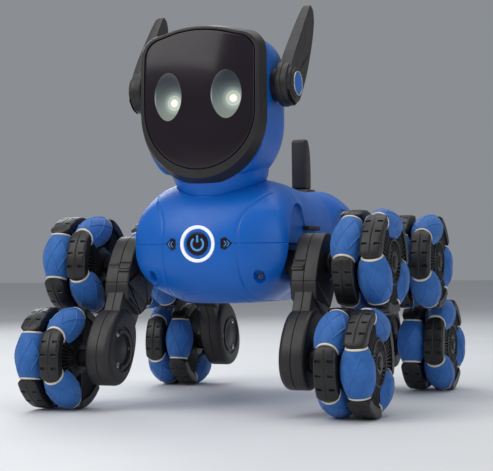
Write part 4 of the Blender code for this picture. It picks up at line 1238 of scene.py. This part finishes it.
def add_ears():
    disc = turned(
        "disc", mm([(49.2, 0), (49.2, 15.0), (53, 15.4), (53, 0)]), "X", steps=96, corner=0.6 * MM
    )
    boss = turned("boss", mm([(52.5, 0), (52.5, 14.7), (57, 14.7), (57.4, 13.0), (59.2, 12.6),
                           (59.4, 10.9), (60.4, 10.3), (60.4, 0)]), "X", steps=96, corner=0.4 * MM)
    flange = turned("flange", mm([(40, 0), (40, 11.4), (49.4, 11.4), (49.4, 0)]), "X", steps=72,
                    corner=0.5 * MM)
    ring = turned("ring", mm([(60.2, 7.2), (61.0, 7.3), (61.2, 7.8), (61.0, 8.3),
                           (60.2, 8.4)]), "X", steps=80, corner=0.15 * MM, closed=True)
    cap = turned("cap", mm([(60, 0), (60, 7.1), (60.7, 7.1), (60.9, 6.6), (61.1, 0)]), "X",
                 steps=72, corner=0.25 * MM)
    blade = ear_blade()
    for side_name, side in SIDES.items():
        place = Matrix.Translation((0, EAR_Y, EAR_Z)) @ Matrix.Rotation(-EAR_LEAN, 4, "X")
        ear = f"{side_name}_ear"
        shell = united("ear", for_side(blade, side), for_side(boss, side), for_side(disc, side))
        piece(ear + "_blade", shell, "dark_plastic", ear, replaces=[ear], matrix=place)
        piece(ear + "_flange", for_side(flange.copy(), side), "frame_black", ear, matrix=place)
        piece(ear + "_cap_ring", for_side(ring.copy(), side), "steel", ear, matrix=place)
        piece(
            ear + "_cap_disc", for_side(cap.copy(), side), "blue_shell", ear, replaces=[ear + "_cap"],
            matrix=place,
        )


# ---------------------------------------------------------------- legs


def egg(shape, draw_in=0.0, steps=28):
    """An upright oval about its middle, hanging below the hip, as (y, z)."""
    middle, half, rise, fall, power = shape
    points = []
    for i in range(4 * steps):
        angle = 2 * math.pi * (i + 0.5) / (4 * steps)
        across, up = math.cos(angle), math.sin(angle)
        reach = (abs(across) ** power + abs(up) ** power) ** (-1 / power)
        points.append((half * reach * across, -middle + (rise if up > 0 else fall) * reach * up))
    return inset(points, draw_in)


def cut_below(outline, low, high, corner):
    """The stretch of an oval between two heights, its corners rounded."""
    points = [(y, z) for y, z in outline if low < z < high]
    right = sorted((p for p in points if p[0] > 0), key=lambda p: p[1])
    left = sorted((p for p in points if p[0] <= 0), key=lambda p: -p[1])
    width_at = lambda z, half: float(np.interp(z, [p[1] for p in half], [p[0] for p in half]))
    closed = [(width_at(low, right), low), *right]
    if high < max(z for _, z in outline):
        closed += [(width_at(high, right), high), (width_at(high, left[::-1]), high)]
    closed += [*left, (width_at(low, left[::-1]), low)]
    return rounded(closed, corner, steps=3)


def half_shell(outline, seam, face, edge, face_rings=()):
    """A leg solid from the seam to its face with a round edge. Face rings (x, radius, centre) carry a cover."""
    inward = math.copysign(1, seam - face)
    lip = 0.25 * MM
    rows = [(seam, lip), (seam - inward * lip, 0)]
    for i in range(7):
        angle = math.pi / 2 * i / 6
        rows.append((face + inward * edge * (1 - math.sin(angle)), edge * (1 - math.cos(angle))))
    rings = [[(x, y, z) for y, z in inset(outline, draw_in)] for x, draw_in in rows]
    inner = inset(outline, edge)
    for x, radius, centre in face_rings:
        angles = np.arctan2(inner[:, 1] - centre, inner[:, 0])
        rings.append([(x, radius * math.cos(a), centre + radius * math.sin(a)) for a in angles])
    return loft("half", rings)


def leg_shell(outward, thigh_edge, foot_edge):
    """Half of a leg about its seam, straight down from the hip: 1 is the wheel's half and -1 the torso's."""
    face, seam = outward * LEG_HALF_THICKNESS, outward * 0.12 * MM
    shift = FOOT_SHIFT_X
    centre = -FOOT[0]
    cover = [
        (face + shift, 15.6 * MM, centre), (face + shift - outward * 1.0 * MM, 15.2 * MM, centre),
        (face + shift - outward * 1.0 * MM, 8 * MM, centre),
        (face + shift - outward * 0.6 * MM, 7.4 * MM, centre),
        (face + shift - outward * 0.6 * MM, 0.1 * MM, centre),
    ]
    foot = half_shell(egg(FOOT), seam + shift, face + shift, foot_edge, cover)
    hip = [
        (face, 12 * MM, 0), (face - outward * 0.7 * MM, 11.6 * MM, 0),
        (face - outward * 0.7 * MM, 0.1 * MM, 0),
    ]
    thigh = egg(THIGH, steps=40)
    top = half_shell(cut_below(thigh, -THIGH_GROOVE, 1.0, 0.6 * MM), seam, face, thigh_edge, hip)
    cap = half_shell(
        cut_below(thigh, -THIGH_END, -THIGH_GROOVE - 0.5 * MM, 1.6 * MM), seam, face * 0.99, thigh_edge
    )
    spine = half_shell(
        cut_below(egg(THIGH, 0.6 * MM, 40), -THIGH_END + 2 * MM, -THIGH_GROOVE + 4 * MM, 0.4 * MM), seam,
        face * 0.93, thigh_edge,
    )
    (neck_top, top_half), (neck_end, end_half) = NECK_ENDS
    corners = [(-end_half, -neck_end), (end_half, -neck_end), (top_half, -neck_top), (-top_half, -neck_top)]
    neck = half_shell(rounded(corners, 1 * MM), seam + shift / 2, shift / 2 + outward * 6.2 * MM, 0.8 * MM)
    parts = [foot, top, cap, spine, neck]
    if outward < 0:
        parts.append(turned("tube", mm([(-23, 0), (-23, 9), (-8, 9), (-8, 11), (-6, 12)]),
                            "X", corner=0.6 * MM))
    return united("shell", *parts)


def leg_band(name, x_low, x_high, top, bottom, proud, lines=1):
    """A latch across the front edge of a leg half: a raised block with ribs over its height."""
    front = -THIGH[1]
    parts = [
        block(name, (x_low, front - proud, -bottom), (x_high, front + 6 * MM, -top), 0.6 * MM, 0.5 * MM)
    ]
    height = (bottom - top) / (2 * lines + 1)
    for i in range(lines):
        low = -bottom + height * (2 * i + 1)
        parts.append(block(name, (x_low + 0.6 * MM, front - proud - 0.8 * MM, low),
                           (x_high - 0.6 * MM, front, low + height), 0.4 * MM, 0.4 * MM))
    return united(name, *parts)


def add_leg_details(prefix, side, end, body, matrix):
    """The latch on the edge that faces forward, and the cover's arc and screws on the torso's side."""
    mirror = Matrix.Scale(-1, 4, (0, 1, 0)) if end > 0 else Matrix.Identity(4)
    flip = mirror @ (Matrix.Scale(-1, 4, (1, 0, 0)) if side < 0 else Matrix.Identity(4))
    bands = [leg_band("latch", -8.9 * MM, -0.4 * MM, 8.5 * MM, 11.0 * MM, 0.3 * MM, 1),
             leg_band("latch", -8.9 * MM, -0.4 * MM, 12.2 * MM, 17.0 * MM, 0.7 * MM, 1)]
    if side < 0:
        bands.append(leg_band("ridge", 0.4 * MM, 8.9 * MM, 9.0 * MM, 13.5 * MM, 0.1 * MM, 1))
    piece(f"{prefix}_leg_latch", moved(united("bands", *bands), flip), "dark_plastic", body, matrix=matrix)
    centre = -FOOT[0]
    face = FOOT_SHIFT_X - LEG_HALF_THICKNESS
    turn = math.radians(-70)
    curve = sector((0, centre), 10.8 * MM, 13.6 * MM, turn, turn + math.radians(210), 40)
    raised = prism("arc", curve, "X", face - 0.35 * MM, face + 1.4 * MM, 0.3 * MM)
    piece(f"{prefix}_leg_cover_arc", moved(raised, flip), "dark_plastic", body, matrix=matrix)
    for i, angle in enumerate((150, 270, 30)):
        a = math.radians(angle)
        place = Vector((face + 0.5 * MM, 12.2 * MM * math.cos(a), centre + 12.2 * MM * math.sin(a)))
        name = f"{prefix}_leg_screw_{i + 1}"
        add_screw(name, body, matrix @ flip @ place, (-side, 0, 0), 2 * MM, depth=2 * MM)


def hip_matrix(side, end):
    return Matrix.Translation((side * LEG_X, end * HIP_Y, HIP_Z)) @ Matrix.Rotation(end * ARM_LEAN, 4, "X")


def add_legs():
    outer, inner = leg_shell(1, 0.9 * MM, 2.4 * MM), leg_shell(-1, 1.4 * MM, 4.2 * MM)
    shells = {1: (outer, inner), -1: (mirrored(outer), mirrored(inner))}
    for side_name, side in SIDES.items():
        for end_name, end in ENDS.items():
            prefix = f"{end_name}_{side_name}"
            body = f"{prefix}_leg"
            matrix = hip_matrix(side, end)
            for mesh, half in zip(shells[side], ("outer", "inner")):
                name = f"{prefix}_leg_{half}_shell"
                piece(name + "_moulding", mesh.copy(), "dark_plastic", body, replaces=[name], matrix=matrix)
            add_leg_details(prefix, side, end, body, matrix)


# ---------------------------------------------------------------- wheels


def lattice_distance(x, y, z):
    """Distance from the two crossing zigzags engraved on a roller that lies along Z."""
    turn = (np.arctan2(y, x) / (2 * math.pi) * LATTICE_REPEATS) % 1.0
    wave = LATTICE_HALF_LENGTH * (4 * np.abs(turn - 0.5) - 1)
    slope = 4 * LATTICE_HALF_LENGTH * LATTICE_REPEATS / (2 * math.pi * np.hypot(x, y))
    zigzags = np.minimum(np.abs(z - wave), np.abs(z + wave)) / np.hypot(1, slope)
    return zigzags + np.where(np.abs(z) > LATTICE_HALF_LENGTH + 0.3 * MM, 1, 0)


def sleeve_mesh():
    """A roller's rubber sleeve along Z, with a crown that follows the wheel's rim and ends turned in."""
    rounding = 0.94

    def surface(u, v):
        along = 2 * u - 1
        s = SLEEVE_HALF_LENGTH * np.clip(along / rounding, -1, 1)
        past = np.maximum(0, np.abs(along) - rounding) / (1 - rounding)
        radius = np.sqrt(WHEEL_RADIUS**2 - s**2) - ROLLER_AXIS_DISTANCE - 0.3 * MM * step(
            (np.abs(s) - 14.7 * MM) / (0.5 * MM)
        )
        radius = radius - 1.5 * MM * past
        angle = 2 * math.pi * v
        return np.column_stack((radius * np.cos(angle), radius * np.sin(angle), s))

    middle = lambda x, y, z: np.abs(z)
    dot = lambda x, y, z: np.hypot(y, z - 4.5 * MM) + only(x > 0) - 0.6 * MM
    features = [
        groove(lattice_distance, 0.5 * MM, 1.2 * MM), groove(middle, 0.12 * MM, 0.7 * MM),
        pocket(dot, -0.35 * MM, 0.4 * MM),
    ]
    return skin("sleeve", surface, 26, 56, features, levels=2, fill=True)


def roller_caps_mesh():
    """The hard ends of a roller: a ring flush with the sleeve, a sunken end face and its pin."""
    low = SLEEVE_HALF_LENGTH
    radius = math.sqrt(WHEEL_RADIUS**2 - low**2) - ROLLER_AXIS_DISTANCE
    cap = turned(
        "cap",
        [
            (low - 0.6 * MM, 0), (low - 0.6 * MM, radius - 0.5 * MM), (low + 0.02 * MM, radius),
            (low + 0.9 * MM, radius - 0.3 * MM), (low + 1.1 * MM, radius - 0.9 * MM),
            (low + 0.3 * MM, radius - 1.5 * MM), (low + 0.3 * MM, 2.4 * MM), (low + 2.2 * MM, 2.0 * MM),
            (low + 2.2 * MM, 0),
        ],
        "Z", steps=48, corner=0.2 * MM,
    )
    return united("caps", cap, moved(cap, Matrix.Rotation(math.pi, 4, "X")))


def tread_mesh():
    """A tread block at the rim, its middle straight ahead: rounded ends, a centre groove and six slots."""
    path = rounded([(-1, 1), (-1, 0), (1, 0), (1, 1)], 0.22, closed=False, steps=8)
    lengths = np.concatenate(([0], np.cumsum([math.dist(a, b) for a, b in zip(path, path[1:])])))
    across = np.array([a for a, _ in path])
    down = np.array([b for _, b in path])

    def surface(u, v):
        angle = TREAD_HALF_ANGLE * (2 * v - 1)
        share = np.abs(2 * v - 1)
        width = TREAD_HALF_WIDTH * (1 - 0.999 * clamp((share - 0.74) / 0.26) ** 2.4) ** 0.5
        side = np.interp(u * lengths[-1], lengths, across)
        depth = np.interp(u * lengths[-1], lengths, down) * blend(
            TREAD_DEPTH, TREAD_END_DEPTH, (share - 0.6) / 0.35
        )
        x = width * side
        radius = WHEEL_RADIUS - depth - 0.45 * MM * (x / TREAD_HALF_WIDTH) ** 2 - 0.9 * MM * share**12
        return np.column_stack((x, -radius * np.cos(angle), radius * np.sin(angle)))

    def along(x, y, z):
        return WHEEL_RADIUS * np.arctan2(z, -y)

    def inside(x, y, z):
        return only(np.hypot(y, z) > WHEEL_RADIUS - 2.4 * MM)

    def slots(x, y, z):
        nearest = np.full(len(x), 1.0)
        for row in mm((-9.2, 0, 9.2)):
            nearest = np.minimum(
                nearest, box_distance(np.abs(x), along(x, y, z), (4.1 * MM, row), mm((1.9, 0.8)), 0.3 * MM)
            )
        return nearest + inside(x, y, z)

    centre_line = lambda x, y, z: np.maximum(np.abs(x), np.abs(along(x, y, z)) - 16 * MM) + inside(x, y, z)
    features = [pocket(slots, 1.3 * MM, 0.3 * MM), groove(centre_line, 0.35 * MM, 0.9 * MM)]
    return skin("tread", surface, 22, 26, features, levels=2, fill=True)


def bracket_mesh():
    """The fan of ribs that carries one tread and the ends of the rollers beside it, straight ahead."""
    parts = []
    for degrees in (-24, -18, -12, -6, 0, 6, 12, 18, 24):
        outer = 31 if abs(degrees) < 20 else 32
        rib = block("rib", (-6.6 * MM, -outer * MM, -0.32 * MM), mm((6.6, -9, 0.32)), 0.3 * MM, 0.1 * MM)
        parts.append(moved(rib, Matrix.Rotation(math.radians(degrees), 4, "X")))
    reach = math.radians(25)
    fan = sector((0, 0), 9 * MM, 30.5 * MM, math.pi - reach, math.pi + reach, 16, 6)
    parts.append(prism("web", fan, "X", -0.8 * MM, 0.8 * MM))
    reach = math.radians(24)
    for radius in (16.5, 23.5):
        band = sector((0, 0), radius * MM, (radius + 0.5) * MM, math.pi - reach, math.pi + reach, 16)
        parts.append(prism("band", band, "X", -5.6 * MM, 5.6 * MM))
    return united("bracket", *parts)


def hub_mesh():
    """The hub, its outer face at +X, with fine curved ribs between its boss and its rim."""
    drum = turned(
        "drum",
        [
            (-HUB_HALF_WIDTH, 0), (-HUB_HALF_WIDTH, 9 * MM), mm((-14, 13.4)), mm((13.4, 13.4)),
            (13.4 * MM, 0),
        ],
        "X", steps=72, corner=0.5 * MM,
    )
    rim = turned(
        "rim",
        [
            mm((-13, 12.9)), (-13 * MM, HUB_RADIUS), (HUB_HALF_WIDTH, HUB_RADIUS),
            (HUB_HALF_WIDTH, 14.2 * MM), mm((13, 14.0)), mm((13, 12.9)),
        ],
        "X", steps=72, corner=0.4 * MM, closed=True,
    )
    boss = turned(
        "boss",
        [
            (12 * MM, 0), mm((12, 7.6)), (HUB_HALF_WIDTH, 7.2 * MM), (HUB_HALF_WIDTH, 4.5 * MM),
            mm((15, 4.2)), (15 * MM, 0),
        ],
        "X", steps=48, corner=0.3 * MM,
    )
    parts = [drum, rim, boss]
    for i in range(HUB_RIBS):
        line = [((7 + 7.6 * t) * MM, 0.3 * t * t) for t in np.linspace(0, 1, 7)]
        left = [
            (
                r * math.cos(a) - 0.32 * MM * math.sin(a), r * math.sin(a) + 0.32 * MM * math.cos(a)
            ) for r, a in line
        ]
        right = [
            (
                r * math.cos(a) + 0.32 * MM * math.sin(a), r * math.sin(a) - 0.32 * MM * math.cos(a)
            ) for r, a in line[::-1]
        ]
        rib = prism("rib", left + right, "X", 13 * MM, 16.2 * MM)
        parts.append(moved(rib, Matrix.Rotation(2 * math.pi * i / HUB_RIBS, 4, "X")))
    return united("hub", *parts)


def row_places():
    """(x, angle above straight ahead) of each roller, and of each tread."""
    turn = 2 * math.pi / ROLLERS_PER_ROW
    rollers, treads = [], []
    for row, shift in ((1, 0), (-1, turn / 2)):
        for i in range(ROLLERS_PER_ROW):
            rollers.append((row * ROW_OFFSET, i * turn + shift))
            treads.append((row * ROW_OFFSET, (i + 0.5) * turn + shift))
    return rollers, treads


def at_rim(x, angle, distance=0.0):
    return Matrix.Rotation(-angle, 4, "X") @ Matrix.Translation((x, -distance, 0))


def shaft_mesh(inner_x):
    """The steel shaft that carries a wheel, from inside the leg to the hub's face."""
    profile = [(inner_x, 0), (inner_x, 2.6 * MM), (WHEEL_CENTRE_X + HUB_HALF_WIDTH - 0.8 * MM, 2.6 * MM),
               (WHEEL_CENTRE_X + HUB_HALF_WIDTH - 0.8 * MM, 0)]
    return turned("shaft", [(x - WHEEL_CENTRE_X, r) for x, r in profile], "X", steps=32, corner=0.3 * MM)


def collar_mesh():
    """The dark spacer between a leg and its wheel, and the cap that holds the wheel on its shaft."""
    low, high = LEG_X + LEG_HALF_THICKNESS + 0.4 * MM - WHEEL_CENTRE_X, -HUB_HALF_WIDTH - GAP
    collar = turned(
        "collar",
        [
            (low, 2.7 * MM), (low, 7.5 * MM), (low + 2 * MM, 7.5 * MM), (low + 3 * MM, 6 * MM),
            (high, 6 * MM), (high, 2.7 * MM),
        ],
        "X", steps=48, corner=0.4 * MM, closed=True,
    )
    face = HUB_HALF_WIDTH
    cap = turned(
        "cap",
        [
            (face - 1.4 * MM, 0), (face - 1.4 * MM, 4.1 * MM), (face + 0.8 * MM, 3.8 * MM),
            (face + 1.2 * MM, 3 * MM), (face + 1.3 * MM, 0),
        ],
        "X", steps=48, corner=0.3 * MM,
    )
    return united("collar", collar, cap)


def add_wheels():
    rollers, treads = row_places()
    sleeve, caps = sleeve_mesh(), roller_caps_mesh()
    tread, bracket, hub = tread_mesh(), bracket_mesh(), hub_mesh()
    carrier = united("carrier", hub, *[moved(bracket, at_rim(x, angle)) for x, angle in treads],
                     *[moved(tread, at_rim(x, angle)) for x, angle in treads])
    all_caps = united(
        "caps", *[moved(caps, at_rim(x, angle, ROLLER_AXIS_DISTANCE)) for x, angle in rollers]
    )
    meshes = {1: (carrier, all_caps), -1: (mirrored(carrier), mirrored(all_caps))}
    shafts, collar = {"upper": shaft_mesh(62 * MM), "lower": shaft_mesh(64 * MM)}, collar_mesh()
    for side_name, side in SIDES.items():
        for end_name, end in ENDS.items():
            prefix = f"{end_name}_{side_name}"
            foot = hip_matrix(side, end) @ Vector((0, 0, -ARM_LENGTH))
            for level, (y, z) in (("upper", (end * HIP_Y, HIP_Z)), ("lower", (foot.y, foot.z))):
                wheel = f"{prefix}_{level}"
                body = wheel + "_wheel"
                turn = Matrix.Rotation(-math.radians(WHEEL_TURNS[wheel]), 4, "X")
                matrix = Matrix.Translation((side * WHEEL_CENTRE_X, y, z)) @ turn
                node = [body]
                piece(
                    wheel + "_wheel_carrier", meshes[side][0], "frame_black", body, node,
                    matrix,
                )
                piece(
                    wheel + "_roller_caps", meshes[side][1], "cream_plastic", body, replaces=node,
                    matrix=matrix,
                )
                axle = [wheel + "_axle"]
                piece(
                    wheel + "_axle_shaft", for_side(shafts[level].copy(), side), "steel", body,
                    replaces=axle, matrix=matrix,
                )
                piece(
                    wheel + "_axle_collar", for_side(collar.copy(), side), "dark_plastic", body,
                    replaces=axle, matrix=matrix,
                )
                for i, (x, angle) in enumerate(rollers):
                    place = matrix @ at_rim(side * x, angle, ROLLER_AXIS_DISTANCE)
                    piece(
                        f"{wheel}_roller_{i + 1}", sleeve, "blue_rubber", body, replaces=node, matrix=place
                    )


# ---------------------------------------------------------------- the pieces inside, camera, lights and floor


def finish_inner_pieces():
    """The CAD's own solids that stay: motors, belts, boards, battery and speaker."""
    looks = {
        "motor": "steel", "belt": "belt_rubber", "board": "circuit_green", "pack": "battery_wrap",
        "speaker": "dark_plastic",
    }
    for name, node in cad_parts.items():
        if node.hide_render:
            continue
        look = next((value for key, value in looks.items() if name.endswith(key)), "dark_plastic")
        node.data.materials.clear()
        node.data.materials.append(MATERIALS[look])


def add_camera():
    back = Vector((0.3688, -0.9292, -0.0205)).normalized()
    level = Vector((-back.y, back.x, 0)).normalized()
    rise = back.cross(level)
    roll = math.radians(-0.65)
    right = level * math.cos(roll) + rise * math.sin(roll)
    up = rise * math.cos(roll) - level * math.sin(roll)
    data = bpy.data.cameras.new("camera")
    data.lens = 99.75
    data.sensor_width = 36
    data.clip_start, data.clip_end = 0.05, 20
    camera = bpy.data.objects.new("camera", data)
    matrix = Matrix((right, up, back)).transposed().to_4x4()
    matrix.translation = (0.3631, -0.9322, 0.0987)
    camera.matrix_world = matrix
    bpy.context.scene.collection.objects.link(camera)
    bpy.context.scene.camera = camera


def add_light(name, place, aim, size, energy, colour):
    data = bpy.data.lights.new(name, "AREA")
    data.shape = "RECTANGLE"
    data.size, data.size_y = size
    data.energy = energy
    data.color = colour
    light = bpy.data.objects.new(name, data)
    light.location = place
    light.rotation_mode = "QUATERNION"
    light.rotation_quaternion = (Vector(aim) - Vector(place)).to_track_quat("-Z", "Y")
    bpy.context.scene.collection.objects.link(light)


def add_studio():
    nodes = Nodes("studio_floor")
    nodes.link(
        nodes.ramp(nodes.noise(6, 3), [(0.3, (0.74, 0.75, 0.77)), (0.7, (0.78, 0.79, 0.80))]),
        nodes.shader.inputs["Base Color"],
    )
    nodes.set(Roughness=0.6)
    nodes.bump([(nodes.noise(400, 2), 0.02, 0.0003)])
    floor = bpy.data.objects.new(
        "studio_floor", mesh_of("floor", [(-6, -6, 0), (6, -6, 0), (6, 6, 0), (-6, 6, 0)], [(0, 1, 2, 3)])
    )
    floor.location.z = cad_low.z - 0.2 * MM
    floor.data.materials.append(nodes.material)
    bpy.context.scene.collection.objects.link(floor)
    add_light("key", (-0.55, -0.85, 0.95), (0, -0.02, 0.13), (1.0, 1.0), 8.5, (1.0, 0.98, 0.95))
    add_light("fill", (0.95, -0.75, 0.45), (0, 0, 0.12), (0.6, 0.9), 2.2, (0.93, 0.96, 1.0))
    add_light("top", (0.05, 0.1, 1.15), (0, 0, 0.1), (1.1, 1.1), 6.5, (1.0, 1.0, 1.0))
    add_light("rim", (-0.75, 0.85, 0.75), (0, 0, 0.15), (0.8, 0.5), 4.5, (0.92, 0.96, 1.0))
    world = bpy.data.worlds.new("studio")
    world.use_nodes = True
    world.node_tree.nodes["Background"].inputs["Color"].default_value = (0.86, 0.90, 0.96, 1)
    world.node_tree.nodes["Background"].inputs["Strength"].default_value = 0.30
    bpy.context.scene.world = world
    bpy.context.scene.view_settings.view_transform = "Standard"


add_camera()
add_studio()
add_torso()
add_chest()
add_underside()
add_tail()
add_head_shells()
add_face()
add_ears()
add_legs()
add_wheels()
finish_inner_pieces()
